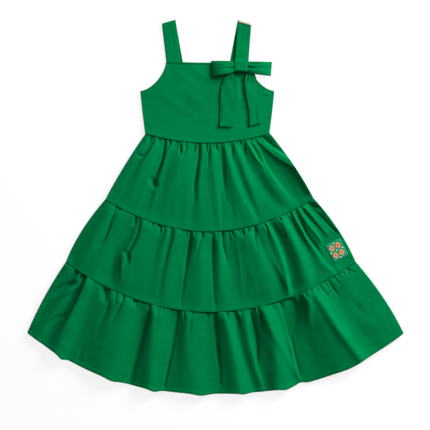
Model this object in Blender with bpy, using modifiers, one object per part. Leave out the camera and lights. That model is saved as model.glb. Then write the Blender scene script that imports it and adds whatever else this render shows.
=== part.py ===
"""A child's tiered sundress in green cotton jersey, laid flat on its back with the front up.

Sizes are in millimetres and become metres as each mesh is made. +X is to the right seen from
above, +Y runs from the hem to the shoulders, +Z is up, and the underside rests at zero height.
"""
import math
from collections import namedtuple

import bmesh
import bpy
import numpy as np

MM = 0.001

# Walls and gaps
FRONT_WALL = 2.0
BACK_WALL = 1.5
TRIM_WALL = 1.5
PATCH_WALL = 1.0
GAP = 0.3
FRONT_REST = BACK_WALL + GAP

# Seams across the dress, each an even curve that hangs by its sag between two side points
Seam = namedtuple("Seam", "left_x left_y right_x right_y sag squareness")
WAIST = Seam(-146.6, 155.0, 114.5, 155.4, 20.0, 2.0)
FIRST_SEAM = Seam(-231.2, 16.6, 206.0, 19.7, 68.7, 2.0)
SECOND_SEAM = Seam(-314.0, -114.7, 294.0, -113.2, 105.0, 2.05)
HEM = Seam(-394.8, -263.0, 394.8, -263.0, 127.5, 2.4)

# Where folds end at the hem, its edge drops below the even curve or is drawn up
HemBump = namedtuple("HemBump", "share half_width drop")
HEM_BUMPS = [
    HemBump(0.104, 0.012, 5.5), HemBump(0.240, 0.018, 3.5), HemBump(0.348, 0.014, 4.0),
    HemBump(0.465, 0.022, 4.0), HemBump(0.570, 0.013, 2.0), HemBump(0.675, 0.016, 3.5),
    HemBump(0.713, 0.012, -4.0), HemBump(0.845, 0.035, 3.0),
]

# The crests and troughs of the large folds, from left to right: where each one runs, as shares of
# the seam's length at the top, middle and bottom of its tier, and its heights there in millimetres
FoldLine = namedtuple("FoldLine", "top middle bottom top_height middle_height bottom_height")
TIER_ONE_FOLDS = [
    FoldLine(0.000, 0.000, 0.000, 1, 1, 1), FoldLine(0.035, 0.040, 0.050, 8, 9, 7),
    FoldLine(0.070, 0.060, 0.060, 5, 7, 6), FoldLine(0.088, 0.095, 0.100, 10, 10, 8),
    FoldLine(0.160, 0.185, 0.195, 3, 4, 4), FoldLine(0.215, 0.215, 0.225, 9, 9, 7),
    FoldLine(0.245, 0.240, 0.250, 6, 7, 6), FoldLine(0.325, 0.295, 0.280, 11, 11, 8),
    FoldLine(0.430, 0.417, 0.405, 3, 3, 4), FoldLine(0.458, 0.460, 0.470, 9, 9, 7),
    FoldLine(0.487, 0.500, 0.530, 5, 5, 5), FoldLine(0.525, 0.540, 0.545, 11, 11, 7),
    FoldLine(0.592, 0.578, 0.560, 2, 3, 4), FoldLine(0.632, 0.655, 0.720, 10, 11, 9),
    FoldLine(0.662, 0.695, 0.735, 5, 4, 5), FoldLine(0.705, 0.732, 0.750, 9, 10, 8),
    FoldLine(0.745, 0.785, 0.865, 4, 4, 4), FoldLine(0.800, 0.845, 0.895, 9, 11, 8),
    FoldLine(0.862, 0.885, 0.935, 2, 3, 3), FoldLine(0.890, 0.985, 1.065, 11, 12, 10),
    FoldLine(0.940, 1.030, 1.100, 4, 4, 4), FoldLine(1.000, 1.100, 1.200, 6, 6, 6),
]
TIER_TWO_FOLDS = [
    FoldLine(0.000, 0.000, 0.000, 2, 2, 2), FoldLine(0.040, 0.030, 0.030, 10, 8, 7),
    FoldLine(0.065, 0.072, 0.045, 3, 3, 5), FoldLine(0.088, 0.090, 0.070, 12, 12, 9),
    FoldLine(0.175, 0.165, 0.140, 5, 4, 4), FoldLine(0.205, 0.195, 0.195, 12, 12, 9),
    FoldLine(0.280, 0.285, 0.300, 5, 7, 6), FoldLine(0.345, 0.340, 0.345, 10, 9, 8),
    FoldLine(0.408, 0.403, 0.392, 2, 2, 3), FoldLine(0.440, 0.460, 0.465, 11, 10, 8),
    FoldLine(0.507, 0.508, 0.508, 2, 3, 4), FoldLine(0.538, 0.536, 0.536, 12, 11, 8),
    FoldLine(0.560, 0.575, 0.600, 4, 4, 4), FoldLine(0.660, 0.690, 0.700, 10, 13, 9),
    FoldLine(0.700, 0.738, 0.735, 5, 9, 7), FoldLine(0.755, 0.768, 0.756, 12, 12, 10),
    FoldLine(0.775, 0.785, 0.769, 3, 3, 3), FoldLine(0.825, 0.834, 0.826, 14, 15, 14),
    FoldLine(0.855, 0.870, 0.860, 5, 7, 6), FoldLine(0.883, 0.888, 0.920, 12, 11, 9),
    FoldLine(0.895, 0.900, 0.932, 3, 3, 5), FoldLine(0.912, 0.925, 0.942, 12, 12, 8),
    FoldLine(0.930, 0.942, 0.958, 5, 6, 6), FoldLine(0.945, 0.962, 0.975, 12, 12, 8),
    FoldLine(0.965, 0.985, 1.000, 3, 4, 5), FoldLine(1.000, 1.050, 1.100, 8, 8, 6),
]
TIER_THREE_FOLDS = [
    FoldLine(0.000, -0.020, -0.060, 3, 4, 4), FoldLine(0.035, 0.005, -0.020, 11, 8, 8),
    FoldLine(0.047, 0.022, 0.000, 3, 4, 5), FoldLine(0.060, 0.045, 0.030, 9, 9, 7),
    FoldLine(0.073, 0.066, 0.045, 3, 4, 5), FoldLine(0.088, 0.088, 0.090, 16, 16, 17),
    FoldLine(0.125, 0.125, 0.125, 7, 6, 6), FoldLine(0.222, 0.222, 0.222, 15, 16, 16),
    FoldLine(0.283, 0.284, 0.285, 3, 3, 4), FoldLine(0.315, 0.328, 0.333, 15, 16, 16),
    FoldLine(0.393, 0.384, 0.370, 2, 2, 4), FoldLine(0.425, 0.430, 0.440, 12, 12, 13),
    FoldLine(0.503, 0.503, 0.505, 2, 2, 4), FoldLine(0.540, 0.555, 0.560, 14, 16, 16),
    FoldLine(0.572, 0.583, 0.600, 4, 4, 5), FoldLine(0.605, 0.606, 0.620, 11, 9, 8),
    FoldLine(0.628, 0.622, 0.625, 3, 4, 8), FoldLine(0.665, 0.672, 0.655, 16, 17, 16),
    FoldLine(0.722, 0.718, 0.712, 1, 1, 2), FoldLine(0.825, 0.842, 0.865, 18, 19, 19),
    FoldLine(0.880, 0.900, 0.920, 9, 11, 11), FoldLine(0.940, 0.940, 0.950, 12, 13, 13),
    FoldLine(1.000, 1.000, 1.000, 6, 6, 8),
]

# Skirt tiers, from the waist down: the side outlines bow out a little, and the folds are drawn
# down towards the even heights at which the seams hold the cloth
Tier = namedtuple("Tier", "name top bottom left_bow right_bow gathers top_height folds")
TIERS = [
    Tier("tier1", WAIST, FIRST_SEAM, 3.0, 5.0, 44, 2.4, TIER_ONE_FOLDS),
    Tier("tier2", FIRST_SEAM, SECOND_SEAM, 8.0, 8.0, 54, 4.0, TIER_TWO_FOLDS),
    Tier("tier3", SECOND_SEAM, HEM, 5.0, 7.5, 66, 4.0, TIER_THREE_FOLDS),
]
ROW_SHARES = [0.0, 0.05, 0.11, 0.2, 0.34, 0.54, 0.78, 1.0]
HELD_SHARE = 0.4
TOP_HOLD = 0.12
LOWER_SEAM_HEIGHT = 4.0
LOWER_HOLD = 0.16
GATHER_HEIGHT = 1.8
GATHER_RISE = 0.045
GATHER_FADE = 0.11
SIDE_SHARE = 0.03

# Bodice: half widths from its own centre line, with the armholes cut as quarter superellipses
BODICE_AXIS = -17.0
NECK_HALF_WIDTH = 86.6
CHEST_HALF_WIDTH = 140.6
WAIST_HALF_WIDTH = 130.5
NECK_Y = 306.4
ARMHOLE_Y = 244.4
ARMHOLE_POWER = 1.63
ARMHOLE_SHARE = 0.5
NECK_DIP = 2.5
BULGE = namedtuple("Bulge", "above_waist half_width height")(13.0, 9.0, 1.2)
WAIST_LIFT = 2.2
WAIST_LIFT_REACH = 34.0
Wrinkle = namedtuple("Wrinkle", "start_x start_y end_x end_y half_width height")
WRINKLES = [
    Wrinkle(-120.0, 250.0, -60.0, 190.0, 9.0, 0.8),
    Wrinkle(-80.0, 262.0, -20.0, 205.0, 10.0, 0.7),
    Wrinkle(-100.0, 215.0, -45.0, 172.0, 8.0, -0.6),
    Wrinkle(60.0, 225.0, 105.0, 180.0, 9.0, 0.7),
]

# Straps: one strip each, folded over at the shoulder, the back half turned a little inwards
Strap = namedtuple("Strap", "name outer_top inner_top outer_front inner_front outer_back inner_back")
STRAPS = [
    Strap("strap_left", (-112.1, 386.2), (-83.8, 394.2), -103.4, -73.7, -97.0, -67.6),
    Strap("strap_right", (75.2, 385.6), (46.4, 394.2), 69.3, 41.2, 57.7, 29.2),
]
STRAP_TURN = 0.9
BACK_NECK_Y = 300.0
TAPE_WIDTH = 3.6
TAPE_WALL = 1.0

# Bow: a knot band round the middle of two loops, and two tails tucked under it
KNOT = namedtuple("Knot", "x y width length height")(53.5, 296.6, 27.3, 26.7, 9.0)
TAIL_TOP = FRONT_REST + FRONT_WALL + GAP + TRIM_WALL
KNOT_BASE = TAIL_TOP + GAP
Loop = namedtuple("Loop", "name reach slant knot_top knot_bottom outer_top outer_bottom")
LOOPS = [
    Loop("bow_loop_left", -63.0, 4.5, 304.0, 289.2, 307.9, 276.6),
    Loop("bow_loop_right", 65.2, -2.2, 304.0, 289.2, 305.0, 276.8),
]
# The loop's strip in section: share of the reach from the knot's middle, height above KNOT_BASE
KNOT_SHARE = 0.22
LOOP_SECTION = [
    (0.03, 2.6), (KNOT_SHARE, 2.6), (0.34, 1.4), (0.60, 1.1), (0.86, 1.1), (0.965, 1.6), (1.0, 3.6),
    (0.965, 5.6), (0.82, 7.2), (0.60, 8.6), (0.40, 7.6), (KNOT_SHARE, 4.5), (0.03, 4.5),
]
# Tails: left and right edge points of each row, from the end under the knot to the cut end
TailRow = namedtuple("TailRow", "left_x left_y right_x right_y")
TAILS = {
    "bow_tail_left": [
        TailRow(41.0, 292.0, 51.0, 292.0), TailRow(31.0, 279.5, 45.5, 279.5),
        TailRow(16.4, 270.5, 44.9, 267.0), TailRow(12.6, 245.0, 42.5, 245.0),
        TailRow(9.6, 207.0, 39.2, 207.0), TailRow(9.2, 169.7, 38.2, 168.4),
    ],
    "bow_tail_right": [
        TailRow(56.0, 292.0, 66.0, 292.0), TailRow(62.5, 280.0, 80.5, 279.0),
        TailRow(62.6, 268.0, 86.0, 268.0), TailRow(64.5, 243.0, 93.2, 243.0),
        TailRow(69.6, 206.0, 98.0, 208.0), TailRow(72.0, 170.1, 99.3, 178.7),
    ],
}

# Woven patch near the left side seam, which keeps the cloth under it flat
PATCH = namedtuple("Patch", "x y width length turn")(254.6, -89.8, 34.0, 40.0, 28.5)
PATCH_REST = 5.0
PATCH_FLAT_RADIUS = 31.0
PATCH_BLEND = 16.0

GREEN = (0.004, 0.262, 0.085)
TAPE_BEIGE = (0.60, 0.53, 0.38)
PATCH_TEAL = (0.03, 0.33, 0.20)


def smooth(value):
    """Rises gently from 0 to 1."""
    clamped = min(1.0, max(0.0, value))
    return clamped * clamped * (3.0 - 2.0 * clamped)


def uneven(index, step):
    """An even-handed scatter between 0 and 1, the same on each run."""
    return (index * step) % 1.0


def seam_point(seam, share):
    """The point at a share of the seam's length, from its left end."""
    across = np.linspace(0.0, 1.0, 201)
    hang = 1.0 - np.abs(2.0 * across - 1.0) ** seam.squareness
    xs = seam.left_x + (seam.right_x - seam.left_x) * across
    ys = seam.left_y + (seam.right_y - seam.left_y) * across - seam.sag * hang
    run = np.concatenate([[0.0], np.cumsum(np.hypot(np.diff(xs), np.diff(ys)))])
    wanted = share * run[-1]
    return float(np.interp(wanted, run, xs)), float(np.interp(wanted, run, ys))


def tier_point(tier, share, drop):
    """A point of a tier in plan, at a share of its width and of its drop."""
    top_x, top_y = seam_point(tier.top, share)
    bottom_x, bottom_y = seam_point(tier.bottom, share)
    gap_share = GAP / math.hypot(bottom_x - top_x, bottom_y - top_y)
    if tier.bottom is HEM:
        bottom_y -= sum(
            bump.drop * math.exp(-((share - bump.share) / bump.half_width) ** 2) for bump in HEM_BUMPS
        )
    down = gap_share + (1.0 - gap_share) * drop
    bow = (tier.right_bow * share ** 8 - tier.left_bow * (1.0 - share) ** 8) * 4.0 * down * (1.0 - down)
    return top_x + (bottom_x - top_x) * down + bow, top_y + (bottom_y - top_y) * down


def through(first, middle, last, drop):
    """A value at a drop, on the even curve through its three given ones."""
    bend = first + last - 2.0 * middle
    return first + (last - first - 2.0 * bend) * drop + 2.0 * bend * drop * drop


def fold_height(tier, share, drop):
    """The height of the large folds at a point of a tier, between its crests and troughs."""
    places = [through(line.top, line.middle, line.bottom, drop) for line in tier.folds]
    heights = [through(line.top_height, line.middle_height, line.bottom_height, drop) for line in tier.folds]
    return float(np.interp(share, places, heights))


def tier_height(tier, share, drop, column):
    """The height of the cloth's lower face above the face that it would rest on."""
    loose = HELD_SHARE + (1.0 - HELD_SHARE) * smooth(drop / TOP_HOLD)
    height = tier.top_height + loose * (fold_height(tier, share, drop) - tier.top_height)
    if tier.bottom is not HEM:
        loose = HELD_SHARE + (1.0 - HELD_SHARE) * smooth((1.0 - drop) / LOWER_HOLD)
        height = LOWER_SEAM_HEIGHT + loose * (height - LOWER_SEAM_HEIGHT)
    amount = GATHER_HEIGHT * (0.5 + uneven(column // 2, 0.618))
    turn = 1.0 if column % 2 else -1.0
    height += turn * amount * (0.25 + drop / GATHER_RISE) * math.exp(-drop / GATHER_FADE)
    height = 0.5 * (height + math.hypot(height, 0.8))
    if tier.name == "tier2":
        x, y = tier_point(tier, share, drop)
        near_patch = math.hypot(x - PATCH.x, y - PATCH.y)
        flat = 1.0 - smooth((near_patch - PATCH_FLAT_RADIUS) / PATCH_BLEND)
        height += (PATCH_REST - height) * flat
    return FRONT_REST + height * smooth(min(share, 1.0 - share) / SIDE_SHARE)


def waist_y(x):
    """The height of the waist seam up the dress, at a place across it."""
    across = (x - WAIST.left_x) / (WAIST.right_x - WAIST.left_x)
    return WAIST.left_y - WAIST.sag * (1.0 - abs(2.0 * across - 1.0) ** WAIST.squareness)


def bodice_relief(x, y):
    """How far the bodice front stands up: the fullness over the waist seam, and soft creases."""
    above = y - waist_y(x)
    relief = BULGE.height * math.exp(-((above - BULGE.above_waist) / BULGE.half_width) ** 2)
    relief += WAIST_LIFT * smooth(1.0 - above / WAIST_LIFT_REACH)
    for crease in WRINKLES:
        run_x = crease.end_x - crease.start_x
        run_y = crease.end_y - crease.start_y
        length = math.hypot(run_x, run_y)
        along = ((x - crease.start_x) * run_x + (y - crease.start_y) * run_y) / length ** 2
        across = ((x - crease.start_x) * run_y - (y - crease.start_y) * run_x) / length
        ends = max(0.0, 4.0 * along * (1.0 - along))
        relief += crease.height * ends * math.exp(-(across / crease.half_width) ** 2)
    return max(0.0, relief)


def bodice_point(across, down, neck_y):
    """A point of the bodice in plan, at a share of its width and of its height."""
    if down < ARMHOLE_SHARE:
        angle = 0.5 * math.pi * down / ARMHOLE_SHARE
        scoop = math.cos(angle) ** (2.0 / ARMHOLE_POWER)
        rise = 1.0 - math.sin(angle) ** (2.0 / ARMHOLE_POWER)
        half_width = CHEST_HALF_WIDTH + (NECK_HALF_WIDTH - CHEST_HALF_WIDTH) * scoop
        side_y = ARMHOLE_Y + (neck_y - ARMHOLE_Y) * rise
    else:
        low = (down - ARMHOLE_SHARE) / (1.0 - ARMHOLE_SHARE)
        half_width = CHEST_HALF_WIDTH + (WAIST_HALF_WIDTH - CHEST_HALF_WIDTH) * low ** 1.2
        side_y = ARMHOLE_Y + (WAIST.left_y + GAP - ARMHOLE_Y) * low
    dip = NECK_DIP + (WAIST.sag - NECK_DIP) * down
    curve = 1.0 - (2.0 * across - 1.0) ** 2
    return BODICE_AXIS + (2.0 * across - 1.0) * half_width, side_y - dip * curve


def add_object(name, mesh, colour, roughness):
    """Links a mesh as a named piece with its own cloth material."""
    material = bpy.data.materials.new(name + "_cloth")
    material.use_nodes = True
    shader = material.node_tree.nodes["Principled BSDF"]
    shader.inputs["Base Color"].default_value = (*colour, 1.0)
    shader.inputs["Roughness"].default_value = roughness
    mesh.materials.append(material)
    piece = bpy.data.objects.new(name, mesh)
    dress.objects.link(piece)
    return piece


def cloth_sheet(name, columns, rows, place, colour=GREEN, roughness=0.9):
    """An open sheet of columns by rows, where place(column, row) gives a point in millimetres."""
    sheet = bmesh.new()
    bmesh.ops.create_grid(sheet, x_segments=columns, y_segments=rows, size=0.5)
    for corner in sheet.verts:
        column = round((corner.co.x + 0.5) * columns)
        row = round((0.5 - corner.co.y) * rows)
        corner.co = [value * MM for value in place(column, row)]
    mesh = bpy.data.meshes.new(name)
    sheet.to_mesh(mesh)
    sheet.free()
    return add_object(name, mesh, colour, roughness)


def raise_wall(piece, wall):
    """Turns a sheet into a wall of even upright thickness that stands on the sheet."""
    shell = bmesh.new()
    shell.from_mesh(piece.data)
    raised = bmesh.ops.extrude_face_region(shell, geom=shell.faces[:])
    upper = [item for item in raised["geom"] if isinstance(item, bmesh.types.BMVert)]
    bmesh.ops.translate(shell, verts=upper, vec=(0.0, 0.0, wall * MM))
    bmesh.ops.triangulate(shell, faces=shell.faces[:])
    shell.to_mesh(piece.data)
    shell.free()


def solidify(piece, wall):
    """Gives a folded strip its thickness, half to each side."""
    thick = piece.modifiers.new("wall", "SOLIDIFY")
    thick.thickness = wall * MM
    thick.offset = 0.0
    thick.use_even_offset = True


def tier_front(tier):
    """A gathered front panel: its columns follow the crests and valleys of the gathers."""
    columns = 2 * tier.gathers

    def place(column, row):
        share = column / columns
        if 0 < column < columns:
            share += 0.5 * (uneven(column, 0.618) - 0.5) / columns
        x, y = tier_point(tier, share, ROW_SHARES[row])
        return x, y, tier_height(tier, share, ROW_SHARES[row], column)

    raise_wall(cloth_sheet(tier.name + "_front", columns, len(ROW_SHARES) - 1, place), FRONT_WALL)


def tier_back(tier):
    """The back panel of a tier, flat on the floor."""
    columns, rows = 24, 4

    def place(column, row):
        x, y = tier_point(tier, column / columns, row / rows)
        return x, y, 0.0

    raise_wall(cloth_sheet(tier.name + "_back", columns, rows, place), BACK_WALL)


def bodice_front():
    """The bodice front, with its square neck, armholes and fullness over the waist."""
    columns, rows = 18, 15

    def place(column, row):
        x, y = bodice_point(column / columns, row / rows, NECK_Y)
        return x, y, FRONT_REST + bodice_relief(x, y)

    raise_wall(cloth_sheet("bodice_front", columns, rows, place), FRONT_WALL)


def bodice_back():
    """The bodice back, flat on the floor, a little lower at the neck."""
    columns, rows = 10, 12

    def place(column, row):
        x, y = bodice_point(column / columns, row / rows, BACK_NECK_Y)
        return x, y, 0.0

    raise_wall(cloth_sheet("bodice_back", columns, rows, place), BACK_WALL)


def strap_rows(strap):
    """Rows of a strap from its back end, over the shoulder, to its front end."""
    low = 0.5 * TRIM_WALL
    high = low + 2.0 * STRAP_TURN
    back_end = BACK_NECK_Y + GAP
    front_end = NECK_Y + GAP
    rows = [(strap.outer_back, back_end, strap.inner_back, back_end, low)]
    (outer_x, outer_y), (inner_x, inner_y) = strap.outer_top, strap.inner_top
    for step in range(7):
        angle = math.pi * (step / 6.0 - 0.5)
        out = STRAP_TURN * (math.cos(angle) - 1.0) - 0.5 * TRIM_WALL
        height = low + STRAP_TURN * (1.0 + math.sin(angle))
        rows.append((outer_x, outer_y + out, inner_x, inner_y + out, height))
    rows.append((strap.outer_front, front_end, strap.inner_front, front_end, high))
    return rows


def strap(shape):
    """One strap strip, folded over at the shoulder."""
    rows = strap_rows(shape)

    def place(column, row):
        outer_x, outer_y, inner_x, inner_y, height = rows[row]
        share = column / 2.0
        return outer_x + (inner_x - outer_x) * share, outer_y + (inner_y - outer_y) * share, height

    solidify(cloth_sheet(shape.name, 2, len(rows) - 1, place), TRIM_WALL)


def strap_tape(shape):
    """The pale tape laid over the shoulder fold of the right strap."""
    (left_x, left_y), (right_x, right_y) = shape.inner_top, shape.outer_top
    height = 2.0 * STRAP_TURN + TRIM_WALL + GAP

    def place(column, row):
        back = STRAP_TURN + row * TAPE_WIDTH
        share = 0.03 + 0.94 * column / 2.0
        x = left_x + (right_x - left_x) * share
        return x, left_y + (right_y - left_y) * share - back, height

    tape = cloth_sheet("strap_tape", 2, 1, place, TAPE_BEIGE, 0.85)
    raise_wall(tape, TAPE_WALL)


def bow_loop(loop):
    """One loop of the bow, a strip that leaves the knot, turns over and comes back into it."""
    def place(column, row):
        out, up = LOOP_SECTION[row]
        share = column / 4.0
        flare = max(0.0, (out - KNOT_SHARE) / (1.0 - KNOT_SHARE)) ** 0.4
        top = loop.knot_top + (loop.outer_top - loop.knot_top) * flare
        bottom = loop.knot_bottom + (loop.outer_bottom - loop.knot_bottom) * flare
        x = KNOT.x + loop.reach * out + loop.slant * share * out ** 3
        return x, top + (bottom - top) * share, KNOT_BASE + up

    solidify(cloth_sheet(loop.name, 4, len(LOOP_SECTION) - 1, place), TRIM_WALL)


def bow_knot():
    """The band round the middle of the bow, a flat tube along X."""
    around, along = 24, 4

    def place(column, row):
        angle = 2.0 * math.pi * column / around
        width = 0.5 * (KNOT.length - TRIM_WALL) * (1.0 - 0.04 * math.sin(math.pi * row / along))
        height = 0.5 * (KNOT.height - TRIM_WALL)
        x = KNOT.x + KNOT.width * (row / along - 0.5)
        lift = math.copysign(abs(math.sin(angle)) ** 0.6, math.sin(angle))
        y = KNOT.y + width * math.copysign(abs(math.cos(angle)) ** 0.6, math.cos(angle))
        return x, y, KNOT_BASE + 0.5 * KNOT.height + height * lift

    knot = cloth_sheet("bow_knot", around, along, place)
    ring = bmesh.new()
    ring.from_mesh(knot.data)
    bmesh.ops.remove_doubles(ring, verts=ring.verts[:], dist=0.01 * MM)
    bmesh.ops.recalc_face_normals(ring, faces=ring.faces[:])
    ring.to_mesh(knot.data)
    ring.free()
    solidify(knot, TRIM_WALL)


def bow_tail(name, edges):
    """One tail of the bow, a strip that lies on the bodice front."""
    steps = 3
    rows = (len(edges) - 1) * steps

    def place(column, row):
        first = min(row // steps, len(edges) - 2)
        part = row / steps - first
        upper, lower = edges[first], edges[first + 1]
        left_x, left_y, right_x, right_y = [a + (b - a) * part for a, b in zip(upper, lower)]
        share = column / 4.0
        x = left_x + (right_x - left_x) * share
        y = left_y + (right_y - left_y) * share
        clear = GAP * (1.0 + smooth((row - steps) / steps))
        return x, y, FRONT_REST + FRONT_WALL + clear + bodice_relief(x, y)

    raise_wall(cloth_sheet(name, 4, rows, place), TRIM_WALL)


def patch():
    """The woven patch, turned to lie along the side seam."""
    turn = math.radians(PATCH.turn)

    def place(column, row):
        across = PATCH.width * (column / 2.0 - 0.5)
        along = PATCH.length * (0.5 - row / 2.0)
        x = PATCH.x + across * math.cos(turn) - along * math.sin(turn)
        y = PATCH.y + across * math.sin(turn) + along * math.cos(turn)
        return x, y, FRONT_REST + PATCH_REST + FRONT_WALL + GAP

    raise_wall(cloth_sheet("patch", 2, 2, place, PATCH_TEAL, 0.7), PATCH_WALL)


for old in list(bpy.data.objects):
    bpy.data.objects.remove(old, do_unlink=True)
dress = bpy.data.collections.new("knit_dress")
bpy.context.scene.collection.children.link(dress)

bodice_back()
bodice_front()
for skirt_tier in TIERS:
    tier_back(skirt_tier)
    tier_front(skirt_tier)
for shoulder in STRAPS:
    strap(shoulder)
strap_tape(STRAPS[1])
for bow_side in LOOPS:
    bow_loop(bow_side)
bow_knot()
for tail_name, tail_edges in TAILS.items():
    bow_tail(tail_name, tail_edges)
patch()
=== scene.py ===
import math
import random
from collections import namedtuple

import bpy
import numpy as np
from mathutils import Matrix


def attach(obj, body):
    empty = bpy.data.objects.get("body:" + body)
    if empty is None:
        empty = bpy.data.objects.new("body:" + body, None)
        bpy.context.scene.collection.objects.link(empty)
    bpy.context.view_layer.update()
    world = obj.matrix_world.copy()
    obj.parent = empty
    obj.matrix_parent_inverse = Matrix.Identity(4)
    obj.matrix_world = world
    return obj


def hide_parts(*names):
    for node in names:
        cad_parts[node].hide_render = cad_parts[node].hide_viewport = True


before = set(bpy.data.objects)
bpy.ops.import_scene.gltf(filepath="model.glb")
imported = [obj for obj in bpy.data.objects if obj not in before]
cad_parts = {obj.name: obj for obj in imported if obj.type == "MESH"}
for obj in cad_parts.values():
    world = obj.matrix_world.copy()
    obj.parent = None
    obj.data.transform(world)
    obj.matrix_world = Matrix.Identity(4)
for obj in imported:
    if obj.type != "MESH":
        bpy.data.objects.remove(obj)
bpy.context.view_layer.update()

# Camera, light and floor
# The dress lies on a plain white floor, seen straight from above by a long lens. One broad soft
# light stands low at the upper right, so that shadows fall to the lower left.
MM = 0.001
VIEW_PIXELS = 430
VIEW_MM_PER_PIXEL = 2.1
VIEW_CENTRE = (-0.0008, -0.016)
CAMERA_HEIGHT = 3.4
SENSOR_WIDTH = 36.0
KEY_BEARING = math.radians(49.0)
KEY_ELEVATION = math.radians(27.0)
KEY_DISTANCE = 2.4
KEY_SIZE = 1.2
KEY_POWER = 98.0
ROOM_LIGHT = 0.20
FLOOR_REACH = 6.0
FLOOR_GREY = (0.20, 0.20, 0.20, 1.0)
FLOOR_GLOW = 0.85
WHITE = (1.0, 1.0, 1.0, 1.0)

camera = bpy.data.objects.new("camera", bpy.data.cameras.new("camera"))
camera.location = (*VIEW_CENTRE, CAMERA_HEIGHT)
camera.data.sensor_width = SENSOR_WIDTH
camera.data.lens = SENSOR_WIDTH * CAMERA_HEIGHT / (VIEW_PIXELS * VIEW_MM_PER_PIXEL * MM)
bpy.context.scene.collection.objects.link(camera)
bpy.context.scene.camera = camera
bpy.context.scene.view_settings.view_transform = "Standard"

key_lamp = bpy.data.lights.new("key", "AREA")
key_lamp.size = KEY_SIZE
key_lamp.energy = KEY_POWER
key_light = bpy.data.objects.new("key", key_lamp)
key_x = KEY_DISTANCE * math.cos(KEY_ELEVATION) * math.sin(KEY_BEARING)
key_y = KEY_DISTANCE * math.cos(KEY_ELEVATION) * math.cos(KEY_BEARING)
key_light.location = (key_x, key_y, KEY_DISTANCE * math.sin(KEY_ELEVATION))
key_light.rotation_euler = (-key_light.location).to_track_quat("-Z", "Y").to_euler()
bpy.context.scene.collection.objects.link(key_light)

world = bpy.data.worlds.new("studio")
world.use_nodes = True
world.node_tree.nodes["Background"].inputs["Color"].default_value = WHITE
world.node_tree.nodes["Background"].inputs["Strength"].default_value = ROOM_LIGHT
bpy.context.scene.world = world


def new_material(name, roughness, specular):
    """A material with its node tree and its shader."""
    material = bpy.data.materials.new(name)
    material.use_nodes = True
    shader = material.node_tree.nodes["Principled BSDF"]
    shader.inputs["Roughness"].default_value = roughness
    shader.inputs["Specular IOR Level"].default_value = specular
    return material, material.node_tree, shader


floor_paint, _, floor_shader = new_material("floor_paint", roughness=0.9, specular=0.0)
floor_shader.inputs["Base Color"].default_value = FLOOR_GREY
floor_shader.inputs["Emission Color"].default_value = WHITE
floor_shader.inputs["Emission Strength"].default_value = FLOOR_GLOW
floor_corners = [(FLOOR_REACH * x, FLOOR_REACH * y, 0) for x, y in ((-1, -1), (1, -1), (1, 1), (-1, 1))]
floor_mesh = bpy.data.meshes.new("floor")
floor_mesh.from_pydata(floor_corners, [], [(0, 1, 2, 3)])
floor_mesh.materials.append(floor_paint)
floor = bpy.data.objects.new("floor", floor_mesh)
bpy.context.scene.collection.objects.link(floor)

# Green jersey
# All the main pieces are cut from one slub cotton jersey. Its courses run across each piece, with
# fine uneven yarns that show as short streaks, and its wales make a ribbing too fine to see from afar.
JERSEY_GREEN = (0.0, 0.205, 0.056)
JERSEY_DEEP = (0.0, 0.172, 0.044)
JERSEY_PALE = (0.0, 0.232, 0.070)
SLUB_LENGTH = 0.030
SLUB_HEIGHT = 0.0016
PATCHY_LENGTH = 0.09
PATCHY_HEIGHT = 0.03
WALE_SPACING = 0.0011
COURSE_SPACING = 0.0009
COURSE_SLANT = 1.4
SLUB_RELIEF = 5.0
GRAIN_DEPTH = 0.0002
CLOTH_WALL = 0.7


def node_input(tree, node, socket, value):
    """Links a socket, or sets its value."""
    if isinstance(value, bpy.types.NodeSocket):
        tree.links.new(value, node.inputs[socket])
    else:
        node.inputs[socket].default_value = value


def add_node(tree, kind, settings=None, **inputs):
    """A node with its settings. An input is named by its label, or by i and its number."""
    node = tree.nodes.new(kind)
    for key, value in (settings or {}).items():
        setattr(node, key, value)
    for label, value in inputs.items():
        numbered = label[0] == "i" and label[1:].isdigit()
        node_input(tree, node, int(label[1:]) if numbered else label, value)
    return node


def arithmetic(tree, operation, first, second=0.0, third=0.0):
    """The result of one step of arithmetic."""
    settings = {"operation": operation}
    return add_node(tree, "ShaderNodeMath", settings, i0=first, i1=second, i2=third).outputs[0]


def shades(tree, factor, first, last, *between):
    """A colour that runs through stops, each one a place and a colour."""
    ramp = add_node(tree, "ShaderNodeValToRGB", Fac=factor)
    elements = ramp.color_ramp.elements
    for element, (place, colour) in zip(elements, (first, last)):
        element.position = place
        element.color = (*colour, 1.0)
    for place, colour in between:
        elements.new(place).color = (*colour, 1.0)
    return ramp.outputs["Color"]


def raise_grain(tree, shader, height, strength=0.4):
    """The fine relief of a cloth's threads."""
    bump = add_node(tree, "ShaderNodeBump", Strength=strength, Distance=GRAIN_DEPTH, Height=height)
    tree.links.new(bump.outputs["Normal"], shader.inputs["Normal"])


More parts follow.
